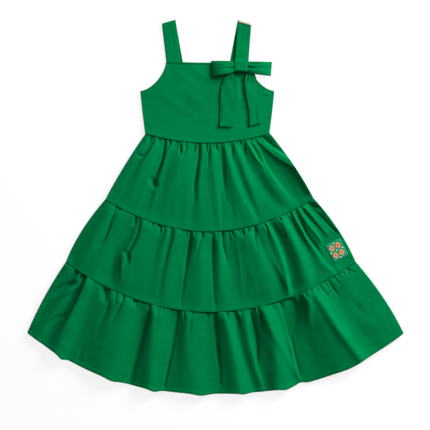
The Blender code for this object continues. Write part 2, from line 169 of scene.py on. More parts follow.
def make_jersey(name, turned=False):
    """Slub jersey that reads the piece's own cloth map, in metres. Turned, its courses run along."""
    material, tree, shader = new_material(name, roughness=0.85, specular=0.0)
    shader.inputs["Sheen Weight"].default_value = 0.16
    shader.inputs["Sheen Roughness"].default_value = 0.5
    shader.inputs["Sheen Tint"].default_value = (0.0, 0.42, 0.80, 1.0)
    cloth_map = add_node(tree, "ShaderNodeUVMap", {"uv_map": "cloth"}).outputs["UV"]
    if turned:
        quarter = (0.0, 0.0, math.radians(90.0))
        cloth_map = add_node(tree, "ShaderNodeMapping", Vector=cloth_map, Rotation=quarter).outputs["Vector"]

    def streaks(length, height, detail):
        stretch = add_node(tree, "ShaderNodeMapping", Vector=cloth_map, Scale=(1 / length, 1 / height, 1.0))
        return add_node(
            tree, "ShaderNodeTexNoise", {"noise_dimensions": "2D"},
            Vector=stretch.outputs["Vector"], Scale=1.0, Detail=detail, Roughness=0.6,
        ).outputs["Fac"]

    slubs = streaks(SLUB_LENGTH, SLUB_HEIGHT, detail=3.0)
    patchy = streaks(PATCHY_LENGTH, PATCHY_HEIGHT, detail=2.0)
    shade = arithmetic(tree, "MULTIPLY_ADD", patchy, 0.35, slubs)
    paint = shades(tree, shade, (0.35, JERSEY_DEEP), (1.0, JERSEY_PALE), (0.68, JERSEY_GREEN))
    tree.links.new(paint, shader.inputs["Base Color"])
    parts = add_node(tree, "ShaderNodeSeparateXYZ", Vector=cloth_map)
    across = arithmetic(tree, "MULTIPLY", parts.outputs["X"], math.tau / WALE_SPACING)
    wales = arithmetic(tree, "SINE", across)
    along = arithmetic(tree, "MULTIPLY", parts.outputs["Y"], math.tau / COURSE_SPACING)
    courses = arithmetic(tree, "SINE", arithmetic(tree, "MULTIPLY_ADD", wales, COURSE_SLANT, along))
    knit = arithmetic(tree, "MULTIPLY_ADD", wales, 0.6, courses)
    relief = arithmetic(tree, "MULTIPLY_ADD", slubs, SLUB_RELIEF, knit)
    raise_grain(tree, shader, relief, strength=0.35)
    return material


jersey = make_jersey("green_jersey")

# Skirt tiers
# Three gathered bands of jersey, each sewn to the plain lower edge of the piece above. The gathers
# stand up in rounded puffs between narrow dark tucks, and run down into long soft folds.
FRONT_REST = 1.8
SEAM_GAP = 0.3
Seam = namedtuple("Seam", "left_x left_y right_x right_y sag squareness")
WAIST = Seam(-146.6, 155.0, 114.5, 155.4, 20.0, 2.0)
FIRST_SEAM = Seam(-231.2, 16.6, 206.0, 19.7, 68.7, 2.0)
SECOND_SEAM = Seam(-314.0, -114.7, 294.0, -113.2, 105.0, 2.05)
HEM = Seam(-394.8, -263.0, 394.8, -263.0, 127.5, 2.4)
HemBump = namedtuple("HemBump", "share half_width drop")
HEM_BUMPS = [
    HemBump(0.104, 0.012, 5.5), HemBump(0.240, 0.018, 3.5), HemBump(0.348, 0.014, 4.0),
    HemBump(0.465, 0.022, 4.0), HemBump(0.570, 0.013, 2.0), HemBump(0.675, 0.016, 3.5),
    HemBump(0.713, 0.012, -4.0), HemBump(0.845, 0.035, 3.0),
]

# The crests and troughs of the large folds, from left to right: where each one runs, as shares of
# the seam's length at the top, middle and bottom of its tier, and its heights there in millimetres
FoldLine = namedtuple("FoldLine", "top middle bottom top_height middle_height bottom_height")
TIER_ONE_LINES = [
    FoldLine(0, 0, 0, 4, 4.4, 4.6), FoldLine(0.035, 0.04, 0.05, 6.6, 7.2, 6.5),
    FoldLine(0.07, 0.06, 0.06, 5, 6.6, 6.1), FoldLine(0.088, 0.095, 0.1, 9.8, 9.6, 7.1),
    FoldLine(0.16, 0.185, 0.195, 3.5, 4.3, 4.9), FoldLine(0.215, 0.215, 0.225, 8.2, 8.1, 6.5),
    FoldLine(0.245, 0.24, 0.25, 6.8, 7, 6.3), FoldLine(0.325, 0.295, 0.28, 9.2, 9, 7.1),
    FoldLine(0.43, 0.417, 0.405, 4.6, 5.4, 5.6), FoldLine(0.45, 0.445, 0.455, 9, 8.4, 6.8),
    FoldLine(0.487, 0.5, 0.53, 6.5, 7, 6.2), FoldLine(0.525, 0.54, 0.545, 9, 8.8, 7),
    FoldLine(0.592, 0.578, 0.56, 4, 5, 5.4), FoldLine(0.632, 0.655, 0.72, 9.7, 10.4, 7.7),
    FoldLine(0.662, 0.695, 0.735, 6.2, 6.4, 6.2), FoldLine(0.705, 0.732, 0.75, 8.6, 9.2, 7.1),
    FoldLine(0.745, 0.785, 0.865, 4.6, 4.8, 5), FoldLine(0.8, 0.845, 0.895, 9, 9.8, 7.3),
    FoldLine(0.862, 0.885, 0.935, 4.6, 4.8, 5.2), FoldLine(0.9, 0.985, 1.065, 7.4, 8.4, 6.4),
    FoldLine(0.95, 1.03, 1.1, 6, 6, 6), FoldLine(1, 1.1, 1.2, 10, 9, 7),
]
TIER_TWO_LINES = [
    FoldLine(0, 0, 0, 3, 2.4, 2.4), FoldLine(0.045, 0.054, 0.058, 9.4, 11.4, 11.4),
    FoldLine(0.066, 0.074, 0.076, 7, 9.6, 9.8), FoldLine(0.088, 0.095, 0.1, 9.8, 9.4, 8.8),
    FoldLine(0.17, 0.145, 0.132, 5, 4, 3.6), FoldLine(0.205, 0.197, 0.198, 12, 12.4, 10.4),
    FoldLine(0.28, 0.285, 0.3, 5, 6.8, 6), FoldLine(0.315, 0.305, 0.32, 10, 8.4, 6.8),
    FoldLine(0.333, 0.325, 0.33, 5, 6.6, 6.4), FoldLine(0.347, 0.34, 0.345, 10.5, 9.4, 7.6),
    FoldLine(0.408, 0.403, 0.392, 4, 4.6, 5.2), FoldLine(0.44, 0.46, 0.465, 11, 10, 8),
    FoldLine(0.507, 0.508, 0.508, 5.4, 5.4, 5.6), FoldLine(0.538, 0.536, 0.536, 10.4, 10, 8),
    FoldLine(0.56, 0.575, 0.6, 4, 4.4, 4.4), FoldLine(0.66, 0.69, 0.7, 10, 13, 9),
    FoldLine(0.7, 0.738, 0.735, 5, 9, 6.6), FoldLine(0.755, 0.768, 0.756, 12, 12.5, 10),
    FoldLine(0.775, 0.785, 0.769, 3, 3, 2.6), FoldLine(0.825, 0.834, 0.826, 14, 15, 14),
    FoldLine(0.855, 0.87, 0.86, 5, 7, 6.4), FoldLine(0.883, 0.888, 0.92, 12, 11, 9),
    FoldLine(0.892, 0.897, 0.932, 5.6, 5.6, 5.6), FoldLine(0.912, 0.925, 0.94, 9.4, 9.2, 8),
    FoldLine(0.928, 0.938, 0.952, 6.4, 6.4, 6.8), FoldLine(0.94, 0.956, 0.97, 9.2, 9, 7.4),
    FoldLine(0.95, 0.968, 0.985, 6.2, 6.8, 7), FoldLine(1, 1.03, 1.09, 13, 11.5, 8.4),
]
TIER_THREE_LINES = [
    FoldLine(0, -0.02, -0.06, 3.1, 4.2, 4.2), FoldLine(0.035, 0.005, -0.02, 10.6, 8.4, 8.4),
    FoldLine(0.047, 0.022, 0, 3.1, 4.2, 5.2), FoldLine(0.06, 0.045, 0.03, 9.5, 9.5, 7.4),
    FoldLine(0.075, 0.066, 0.045, 2, 3.1, 5.2), FoldLine(0.087, 0.087, 0.089, 17, 17, 18),
    FoldLine(0.125, 0.125, 0.125, 7.4, 6.3, 6.3), FoldLine(0.222, 0.222, 0.222, 14.9, 16, 16),
    FoldLine(0.283, 0.284, 0.285, 3.1, 3.1, 4.2), FoldLine(0.315, 0.328, 0.333, 14.9, 16, 16),
    FoldLine(0.393, 0.384, 0.37, 1.6, 2.4, 4.2), FoldLine(0.425, 0.43, 0.44, 11.7, 11.7, 12.8),
    FoldLine(0.503, 0.503, 0.505, 1.6, 2.4, 4.2), FoldLine(0.54, 0.555, 0.56, 13.8, 16, 16),
    FoldLine(0.572, 0.583, 0.6, 4.2, 4.2, 5.2), FoldLine(0.605, 0.606, 0.62, 10.6, 9.5, 8.4),
    FoldLine(0.628, 0.622, 0.625, 3.1, 4.2, 7.6), FoldLine(0.665, 0.672, 0.655, 16, 17, 16),
    FoldLine(0.722, 0.718, 0.712, 1.2, 1.2, 1.6), FoldLine(0.828, 0.842, 0.865, 19, 19.5, 18.5),
    FoldLine(0.88, 0.9, 0.92, 9.5, 10.6, 10.6), FoldLine(0.94, 0.94, 0.95, 11.7, 12.8, 12.8),
    FoldLine(1, 1, 1, 11, 11.8, 12.4),
]
# Tucks and small ridges: half width in millimetres, and a path of points given as percent of the
# seam's length, percent of the drop, and height in millimetres (a tuck is below 0)
Crease = namedtuple("Crease", "half_width path")
TIER_ONE_CREASES = [
    Crease(2.6, [(8.7, 1, -2), (8.5, 12, -5), (7.8, 24, -5), (6.6, 28.5, -4.5), (4.2, 29, -3),
        (1.8, 28.5, 0)]),
    Crease(2.5, [(6.3, 1, -1.5), (5.2, 5, -2), (4.6, 9, 0)]),
    Crease(2.4, [(11.5, 1, -2), (12.8, 5, -2), (13, 9, 0)]),
    Crease(3, [(16.3, 1, -2), (17.5, 8, -5), (18.8, 18, -6), (19.4, 28, -6), (19.2, 38, -5),
        (18.6, 46, -3.5), (18.2, 50, -2)]),
    Crease(5.5, [(17.2, 52, -5), (18.6, 54.5, -8.5), (20, 57.5, -6.5)]),
    Crease(2.4, [(19.3, 1, -2), (20.8, 6, -3), (20.3, 12, 0)]),
    Crease(2.4, [(25.5, 1, -2), (25.2, 6, -2.5), (23.8, 11, 0)]),
    Crease(2.6, [(28.2, 1, -2), (29.3, 7, -4.5), (30.2, 13, -3.5), (30.6, 17, 0)]),
    Crease(2.2, [(34.2, 2, -1.5), (33.7, 9, -2.5), (33, 15, -2.5), (32, 21, 0)]),
    Crease(2, [(36.2, 8, 0), (37.6, 10.5, -2), (39.5, 8.5, -2), (40.6, 3, -1.5)]),
    Crease(3.6, [(43.4, 1, -4), (43.9, 12, -5), (43.3, 25, -5), (42.4, 38, -4), (41.8, 48, -3),
        (42.2, 60, -1.5), (43, 75, 0)]),
    Crease(2, [(48.6, 1, -3), (49.3, 8, -2.5), (50.6, 14, 0)]),
    Crease(2.2, [(51.6, 1, -3), (51.3, 8, -3.5), (50.6, 14, -3), (50.2, 22, -1.5), (50.5, 32, 0)]),
    Crease(2, [(53.2, 1, -2), (54.6, 6, -2), (55.8, 10, 0)]),
    Crease(3.4, [(62.3, 2, -2), (61.2, 10, -2), (60.2, 20, -3), (59.5, 32, -3.5), (59, 45, -3),
        (58.9, 58, -1), (59.6, 72, 0)]),
    Crease(2, [(60, 1, -2), (60.3, 8, -2), (60.2, 16, 0)]),
    Crease(2.8, [(69.5, 2, -2), (68.2, 9, -3.5), (67, 17, -2), (66.4, 24, 0)]),
    Crease(2.8, [(78.3, 3, -3), (77.2, 9, -4.5), (76, 15, -3), (75.2, 20, 0)]),
    Crease(2.4, [(80.8, 3, 0), (81, 12, 1.5), (81.8, 24, 2), (83.6, 34, 1.5), (84.6, 42, 0)]),
    Crease(2.6, [(82, 3, -1.5), (83.2, 12, -2.5), (84, 24, -2), (84.4, 32, 0)]),
    Crease(3.6, [(83.5, 1, 0), (85.4, 10, 2), (86, 20, 2), (85.6, 32, 2), (86, 45, 2), (87.2, 60, 2),
        (89.3, 78, 1), (91.5, 92, 0)]),
    Crease(10, [(93, 6, 0), (96, 20, 4), (98.5, 34, 7), (100.5, 50, 9), (102, 66, 9.5), (103, 88, 7)]),
    Crease(3.2, [(88.4, 3, 0), (89.6, 10, 2), (91.8, 21, 2.6), (94.4, 33, 2.8), (97.2, 44, 2.6),
        (100, 54, 2)]),
    Crease(4.6, [(93.2, 1, -5), (94.4, 8, -6.5), (96, 17, -6.5), (98.4, 28, -5), (100, 36, -3)]),
]
TIER_TWO_CREASES = [
    Crease(3.2, [(6.3, 2, -1.5), (7, 15, -2), (7.9, 28, -3), (8.4, 40, -4), (8.3, 48, -3),
        (7.2, 55, -2), (6.2, 56, 0)]),
    Crease(3.4, [(15.8, 1, -2), (16.7, 8, -3.5), (16.9, 15, 0)]),
    Crease(3.8, [(17.8, 1, -2.5), (18.8, 10, -3.5), (19.3, 20, -4), (19.2, 30, -5), (18.8, 40, -5.5),
        (18.2, 47, -4)]),
    Crease(4.5, [(17.4, 49, -3.5), (18.8, 52, -6), (19.4, 60, -3.5), (19, 70, 0)]),
    Crease(3.5, [(16.6, 48, 0), (17, 56, 1.5), (17.8, 66, 2), (18.8, 78, 1.5), (19.2, 88, 0)]),
    Crease(11, [(13.6, 42, 0), (14.4, 60, -2.2), (15.4, 78, -3.2), (16.2, 92, -1)]),
    Crease(2.6, [(27.6, 1, -3.5), (28.2, 7, -2.5), (28.4, 13, 0)]),
    Crease(2.8, [(29.6, 1, -3.5), (29.9, 8, -2.5), (29.6, 16, -1), (29.3, 28, 0)]),
    Crease(2.4, [(32.2, 1, -2), (32.8, 8, -2.5), (33.4, 16, 0)]),
    Crease(2.6, [(34, 1, -1.5), (34, 10, -2), (33.6, 22, -1.5), (33, 35, -1), (32.2, 50, 0)]),
    Crease(2.2, [(39.2, 1, -1.5), (39.7, 6, -1.5), (40, 10, 0)]),
    Crease(3.4, [(41.6, 1, -5), (41.6, 12, -6), (41.2, 25, -6), (40.9, 40, -5.5), (40.6, 55, -2.5),
        (40.3, 75, -1.5), (40.2, 95, -1)]),
    Crease(2.8, [(46.5, 2, -4), (46.3, 8, -4), (45.4, 18, -2.5), (44.6, 30, -1.5), (44, 42, 0)]),
    Crease(3, [(51.6, 1, -2), (51.3, 12, -3), (51, 30, -2.5), (50.9, 50, -2), (51.2, 75, -1.5),
        (51.6, 95, -1)]),
    Crease(2.2, [(53.5, 1, -2), (53.6, 6, -2), (53.8, 14, 0)]),
    Crease(2.6, [(55.6, 1, -3.5), (55.5, 12, -4), (55.7, 22, -3.5), (56.4, 34, -1.5), (57, 45, 0)]),
    Crease(2.6, [(58.4, 1, -3.5), (58.7, 8, -2.5), (58.6, 15, -1), (58.6, 24, 0)]),
    Crease(2.2, [(60, 1, -2.5), (60.3, 6, -2.5), (60.6, 11, 0)]),
    Crease(4, [(61.2, 12, 0), (61.4, 25, 1), (61.2, 45, 1), (60.8, 70, 1), (60.6, 90, 0)]),
    Crease(4.5, [(63, 1, -3.5), (63.6, 5, -3.5), (63.8, 10, -0.5), (64, 14, 0)]),
    Crease(2.6, [(70.6, 1, -1.5), (70, 8, -3.5), (69.4, 16, -3.5), (69.2, 24, -1.5), (69.3, 34, 0)]),
    Crease(6, [(71.8, 4, 1), (72.3, 14, 2), (72.8, 28, 2), (73.4, 42, 2), (74.4, 58, 2), (75.6, 75, 2),
        (75.8, 90, 1)]),
    Crease(2.4, [(74.8, 2, -2), (75.4, 8, -3.5), (74.9, 15, -3.5), (74.3, 22, 0)]),
    Crease(2.2, [(73.4, 72, 0), (74.2, 80, -1), (75.4, 86, -1), (75.9, 92, 0)]),
    Crease(5, [(77, 4, 1), (77.3, 20, 2), (77.9, 36, 2.5), (77.9, 50, 2), (77.2, 66, 2), (76.6, 80, 2),
        (76.3, 95, 1.5)]),
    Crease(2.6, [(79.6, 4, 1), (80.2, 12, 1.5), (81, 18, 0)]),
    Crease(2.4, [(79, 14, 0), (79.4, 22, -2), (80.2, 26.5, -3), (81.4, 26, -3), (81.7, 20, -1),
        (80.8, 12, 0)]),
    Crease(3.4, [(87.2, 1, -2), (87.4, 10, -2.5), (87, 20, -1.5), (86.4, 32, -0.5), (86, 45, 0)]),
    Crease(2.2, [(89.3, 2, 1), (88.9, 14, 1.5), (88.5, 28, 1.5), (88.3, 40, 1), (88.2, 50, 0)]),
    Crease(3, [(90.3, 1, -2), (90.1, 12, -3), (89.6, 24, -3), (89.4, 36, -3), (90, 50, -2.5),
        (90.8, 65, -2.5), (91.8, 80, -2.5), (93, 93, -1.5)]),
    Crease(2.8, [(91.3, 3, 1), (91.2, 14, 1.5), (91.6, 28, 1.5), (92.4, 42, 1.5), (92.9, 56, 1),
        (93.4, 72, 1), (93.8, 88, 0)]),
    Crease(2.8, [(92.8, 2, -1), (93.2, 12, -2.5), (93.9, 26, -2.5), (94.6, 40, -2), (95, 50, -1),
        (95.2, 58, 0)]),
    Crease(2.6, [(94.2, 3, 1), (95, 16, 1.5), (96, 32, 1.5), (96.3, 48, 1), (96.3, 58, 0)]),
    Crease(3, [(96.6, 10, -1.5), (97.6, 26, -2.5), (98.2, 40, -3), (98.8, 50, -3), (99.6, 56, -2)]),
    Crease(5.5, [(96.4, 2, -5), (97.6, 8, -5.5), (99, 14, -4)]),
    Crease(2.2, [(94.4, 52, 0), (95.4, 56, -1.5), (97, 57, -2), (98.6, 55, -1.5)]),
]
TIER_THREE_CREASES = [
    Crease(6, [(6, 10, 0), (5.2, 17, -6), (4, 23, -8), (2.6, 31, -8), (1.6, 42, -6), (1, 56, -4.5),
        (0.5, 75, -1.5)]),
    Crease(2.6, [(6.5, 3, -1.5), (6.3, 9, -2.5), (5.8, 15, -3.5), (4.6, 22, -2.5)]),
    Crease(3.4, [(7, 5, 0), (6.9, 14, 3), (6.2, 22, 3.4), (4.8, 32, 3), (3.2, 44, 1.5), (2, 56, 0)]),
    Crease(4, [(8.1, 48, -2.5), (6.8, 56, -3.5), (5.6, 62, -3.5), (4.6, 72, -2.5), (3.6, 82, 0)]),
    Crease(3.2, [(7.9, 1, -7), (8.1, 10, -7.5), (8.2, 25, -7.5), (8.2, 40, -7), (7.9, 50, -4),
        (7.4, 60, -2.5), (7, 72, 0)]),
    Crease(8, [(15.2, 1, -8), (15.6, 6, -9), (16, 11, -7), (16.2, 19, 0)]),
    Crease(6, [(17.4, 12, 0), (17.8, 22, -3.5), (17.6, 34, -3.5), (17.2, 46, -1.5), (16.8, 60, 0)]),
    Crease(2.6, [(19, 1, -3.5), (19.3, 8, -3.5), (19.8, 15, 0)]),
    Crease(2.8, [(21.4, 1, -5), (21.6, 9, -6), (20.8, 22, -3.5), (20.2, 34, -1.5), (19.8, 46, 0)]),
    Crease(5, [(15, 72, 0), (14.8, 82, -1.5), (14.6, 95, -1.5)]),
    Crease(3.6, [(25, 1, -4), (25.2, 4, -4), (25.2, 8, 0)]),
    Crease(6, [(30.2, 1, -4), (30.3, 15, -6), (30, 30, -6), (29.6, 45, -6), (29.2, 60, -5),
        (28.8, 80, -3.5), (28.6, 97, -2.5)]),
    Crease(2.2, [(32.6, 2, -2.5), (33, 8, -3), (33.2, 15, 0)]),
    Crease(2.2, [(34.6, 2, -2.5), (35, 10, 0)]),
    Crease(3, [(39.8, 2, -6), (39.2, 12, -7), (38.8, 30, -7), (38.4, 50, -6), (37.8, 70, -5),
        (37.2, 95, -3.5)]),
    Crease(2.2, [(41.5, 2, -2.5), (41.6, 8, -2.5), (42, 14, 0)]),
    Crease(3, [(43.8, 4, -1.5), (43.4, 20, -1.5), (43, 35, 0)]),
    Crease(4, [(51, 2, -4), (51.1, 14, -5), (51.2, 35, -5), (51.3, 55, -5), (51.5, 72, -3),
        (51.2, 88, -2)]),
    Crease(2.8, [(57.6, 1, -4), (58, 8, -5), (58.3, 14, -3.5), (58, 24, 0)]),
    Crease(2.2, [(59.5, 2, -2.5), (59.8, 9, 0)]),
    Crease(4, [(62.8, 2, -2.5), (62.6, 12, -4), (62.8, 26, -5), (62.6, 42, -6), (62, 58, -5),
        (61.6, 68, -2.5), (61.4, 78, 0)]),
    Crease(2, [(63.8, 2, -3.5), (63.9, 8, 0)]),
    Crease(2.6, [(65.2, 2, -6), (65.4, 10, -7), (65.2, 18, -4), (64.8, 28, 0)]),
    Crease(7, [(67, 5, 1), (67.4, 25, 2.5), (68.6, 45, 2.5), (69.8, 65, 2.5), (70.6, 85, 2.5)]),
    Crease(4, [(71.3, 5, 2), (71.7, 25, 2.5), (71.5, 50, 2.5), (71.2, 75, 2.5), (71, 94, 2)]),
    Crease(3.4, [(72.4, 1, -2.5), (72.6, 10, -2.5), (72.4, 24, -3), (72.2, 45, -3.5), (71.8, 70, -3),
        (71.6, 90, -2.5)]),
    Crease(2.6, [(74.4, 4, 0), (74.8, 14, 2.5), (74.4, 26, 1.5), (73.8, 36, 0)]),
    Crease(13, [(75.8, 1, -7), (76, 8, -11), (75.4, 16, -12), (74.2, 26, -8), (73.2, 35, -4),
        (72.8, 45, 0)]),
    Crease(5, [(78.8, 3, -4), (78.6, 12, -5), (77.8, 22, 0)]),
    Crease(8, [(80.8, 1, 4), (80.8, 9, 6), (80.2, 18, 5.5), (79, 30, 3), (78, 42, 0)]),
    Crease(9, [(83, 1, 2.5), (84.2, 20, 4), (85, 45, 5), (86.2, 70, 5), (87.4, 95, 4)]),
    Crease(2.8, [(86, 2, -2.5), (86.6, 12, -2.5), (87, 22, 0)]),
    Crease(2.6, [(89.2, 2, -2.5), (89.4, 14, -2.5), (89.6, 24, 0)]),
    Crease(2.4, [(92.8, 2, -2.5), (93.2, 8, 0)]),
    Crease(2, [(94.6, 3, -2), (94.8, 9, 0)]),
    Crease(2, [(96.4, 2, -2.5), (97.2, 7, -1.5), (98, 10, 0)]),
    Crease(10, [(93, 30, 0), (92.6, 42, -2), (93.4, 55, -1.5), (94, 66, 0)]),
]
Tier = namedtuple("Tier", "name top bottom left_bow right_bow tucks seed seam_height trench lines creases")
TIERS = [
    Tier("tier1", WAIST, FIRST_SEAM, 3.0, 5.0, 16, 11, 4.8, 3.4, TIER_ONE_LINES, TIER_ONE_CREASES),
    Tier("tier2", FIRST_SEAM, SECOND_SEAM, 8.0, 8.0, 18, 23, 8.2, 4.4, TIER_TWO_LINES, TIER_TWO_CREASES),
    Tier("tier3", SECOND_SEAM, HEM, 5.0, 7.5, 24, 37, 8.2, 4.4, TIER_THREE_LINES, TIER_THREE_CREASES),
]
TIER_ROWS = 76
TIER_COLUMNS = 620
ROW_CROWDING = 1.45
UNDERLAP_ROWS = [-0.020, -0.007]
LOWER_RIM = 0.002
SIDE_RIM = 0.0005
SIDE_RAMP = 0.002
LOWEST_TOP = CLOTH_WALL + 0.4
FOLD_SHARPNESS = 0.18
TROUGH_ROUNDING = 0.12
TROUGH_OFFSET = 0.346
TROUGH_STEEP_SHARE = 0.3
FOLD_MIDDLE = 7.2
SEAM_EASE = 50.0
SEAM_PINCH = 0.40
SEAM_PINCH_REACH = 18.0
LOWER_SEAM_HEIGHT = 8.0
LOWER_PINCH = 0.45
LOWER_PINCH_REACH = 26.0
LOWER_LIP_REACH = 6.0
TRENCH_REACH = 1.5
UNDERLAP = 3.0
UNDERLAP_DEPTH = 2.4
PUFF_RISE = 2.0
SOFT_WAVE = 0.8
SOFT_RIPPLE = 0.4
REST_ROUNDING = 0.6
PATCH_PLACE = (254.6, -89.8)
PATCH_REST = 5.0
PATCH_FLAT_RADIUS = 27.0
PATCH_BLEND = 18.0
HEM_BAND = 8.0
BACK_MAP_WIDTH = 700.0
BACK_TUCK = 0.8


def cloth_grid(name, points, cloth_map, material, wall=CLOTH_WALL):
    """A shell from a grid of points in millimetres, rows by columns, with its own cloth map.

    Rows run down the piece and columns to the right, so that the outer side faces up. The wall
    goes inwards from it."""
    rows, columns = points.shape[:2]
    number = np.arange(rows * columns).reshape(rows, columns)
    faces = np.stack([number[:-1, :-1], number[1:, :-1], number[1:, 1:], number[:-1, 1:]], axis=-1)
    mesh = bpy.data.meshes.new(name)
    mesh.from_pydata((points.reshape(-1, 3) * MM).tolist(), [], faces.reshape(-1, 4).tolist())
    layer = mesh.uv_layers.new(name="cloth")
    corners = np.zeros(len(mesh.loops), dtype=np.int32)
    mesh.loops.foreach_get("vertex_index", corners)
    layer.data.foreach_set("uv", cloth_map.reshape(-1, 2)[corners].astype(np.float32).ravel() * MM)
    mesh.shade_smooth()
    mesh.materials.append(material)
    piece = bpy.data.objects.new(name, mesh)
    bpy.context.scene.collection.objects.link(piece)
    thick = piece.modifiers.new("wall", "SOLIDIFY")
    thick.thickness = wall * MM
    thick.offset = -1.0
    return piece


def smooth(value):
    """Rises gently from 0 to 1."""
    clamped = np.clip(value, 0.0, 1.0)
    return clamped * clamped * (3.0 - 2.0 * clamped)


def hump(value, middle, half_width):
    """Rises to 1 at the middle and fades away on both sides."""
    return np.exp(-((value - middle) / half_width) ** 2)


def wandering(seed, across, down, cells_across, cells_down):
    """A soft uneven field between -1 and 1 over a piece, from a seeded coarse grid."""
    draw = random.Random(seed)
    size = (cells_down + 3, cells_across + 3)
    coarse = np.array([[draw.uniform(-1.0, 1.0) for _ in range(size[1])] for _ in range(size[0])])
    x, y = across * cells_across, down * cells_down
    column, row = np.floor(x).astype(int), np.floor(y).astype(int)
    fx, fy = smooth(x - column), smooth(y - row)
    upper = coarse[row, column] * (1 - fx) + coarse[row, column + 1] * fx
    lower = coarse[row + 1, column] * (1 - fx) + coarse[row + 1, column + 1] * fx
    return upper * (1 - fy) + lower * fy


def seam_run(seam, share):
    """Points at shares of the seam's length, from its left end."""
    across = np.linspace(0.0, 1.0, 401)
    hang = 1.0 - np.abs(2.0 * across - 1.0) ** seam.squareness
    xs = seam.left_x + (seam.right_x - seam.left_x) * across
    ys = seam.left_y + (seam.right_y - seam.left_y) * across - seam.sag * hang
    run = np.concatenate([[0.0], np.cumsum(np.hypot(np.diff(xs), np.diff(ys)))])
    return np.interp(share * run[-1], run, xs), np.interp(share * run[-1], run, ys), run[-1]


def tier_plan(tier, share, drop):
    """The plan of a tier at shares of its width and drop, with the length of each upright line."""
    top_x, top_y, _ = seam_run(tier.top, share)
    bottom_x, bottom_y, _ = seam_run(tier.bottom, share)
    if tier.bottom is HEM:
        for bump in HEM_BUMPS:
            bottom_y = bottom_y - bump.drop * hump(share, bump.share, bump.half_width)
    length = np.hypot(bottom_x - top_x, bottom_y - top_y)
    down = SEAM_GAP / length + (1.0 - SEAM_GAP / length) * np.maximum(drop, 0.0) + np.minimum(drop, 0.0)
    bow = (tier.right_bow * share ** 8 - tier.left_bow * (1.0 - share) ** 8) * 4.0 * down * (1.0 - down)
    return top_x + (bottom_x - top_x) * down + bow, top_y + (bottom_y - top_y) * down, length


def trough_shape(away):
    """A tuck in section: steep near its bottom, with rounded shoulders."""
    steep = np.exp(TROUGH_OFFSET - np.sqrt((2.0 * away) ** 2 + TROUGH_ROUNDING))
    return TROUGH_STEEP_SHARE * steep + (1.0 - TROUGH_STEEP_SHARE) * hump(away, 0.0, 1.0)


def through(first, middle, last, drop):
    """A value at a drop, on the even curve through its three given ones."""
    bend = first + last - 2.0 * middle
    return first + (last - first - 2.0 * bend) * drop + 2.0 * bend * drop * drop


def fold_lines(lines, share, drop):
    """The surface through a tier's crests and troughs."""
    places = [through(line.top, line.middle, line.bottom, drop) for line in lines]
    heights = [through(line.top_height, line.middle_height, line.bottom_height, drop) for line in lines]
    surface = heights[0] + 0.0 * share
    for left, right, low, high in zip(places, places[1:], heights, heights[1:]):
        part = np.clip((share - left) / (right - left), 0.0, 1.0)
        curved = 0.5 - 0.5 * np.cos(math.pi * part)
        surface = surface + (high - low) * (FOLD_SHARPNESS * part + (1.0 - FOLD_SHARPNESS) * curved)
    return surface


def eased(control, steps):
    """Rows eased through the given ones."""
    control = np.array(control, dtype=float)
    place = np.linspace(0.0, len(control) - 1.0, (len(control) - 1) * steps + 1)
    index = np.minimum(place.astype(int), len(control) - 2)
    part = (place - index)[:, None]
    before, first = control[np.maximum(index - 1, 0)], control[index]
    last, after = control[index + 1], control[np.minimum(index + 2, len(control) - 1)]
    cubic = 3.0 * first - before - 3.0 * last + after
    square = 2.0 * before - 5.0 * first + 4.0 * last - after
    return 0.5 * (2.0 * first + (last - before) * part + square * part ** 2 + cubic * part ** 3)


def crease_relief(tier, creases, x, y):
    """The height that creases add to a tier at places of its plan."""
    relief = np.zeros_like(x)
    for crease in creases:
        share, drop, height = eased(crease.path, 4).T
        path_x, path_y, _ = tier_plan(tier, share / 100.0, drop / 100.0)
        margin = 3.0 * crease.half_width
        near = (x > path_x.min() - margin) & (x < path_x.max() + margin)
        near &= (y > path_y.min() - margin) & (y < path_y.max() + margin)
        away, raised = np.full(near.sum(), np.inf), np.zeros(near.sum())
        for i in range(len(path_x) - 1):
            run_x, run_y = path_x[i + 1] - path_x[i], path_y[i + 1] - path_y[i]
            from_x, from_y = x[near] - path_x[i], y[near] - path_y[i]
            part = np.clip((from_x * run_x + from_y * run_y) / (run_x ** 2 + run_y ** 2), 0.0, 1.0)
            apart = np.hypot(from_x - part * run_x, from_y - part * run_y)
            closer = apart < away
            away = np.where(closer, apart, away)
            raised = np.where(closer, height[i] + (height[i + 1] - height[i]) * part, raised)
        away = away / crease.half_width
        relief[near] += raised * np.where(raised < 0.0, trough_shape(away), hump(away, 0.0, 1.0))
    return relief


def small_tucks(tier):
    """Short tucks at uneven places along the top of a tier."""
    draw = random.Random(tier.seed)
    steps = [draw.uniform(0.45, 1.55) for _ in range(tier.tucks)]
    places = 100.0 * np.cumsum(steps) / (sum(steps) + 1.0)
    tucks = []
    for place in places:
        lean, reach, depth = draw.uniform(-0.6, 0.6), draw.uniform(5.0, 13.0), draw.uniform(-4.0, -1.5)
        path = [(place, 1.0, depth), (place + 0.4 * lean, 0.5 * reach, depth), (place + lean, reach, 0.0)]
        tucks.append(Crease(draw.uniform(2.0, 3.0), path))
    return tucks


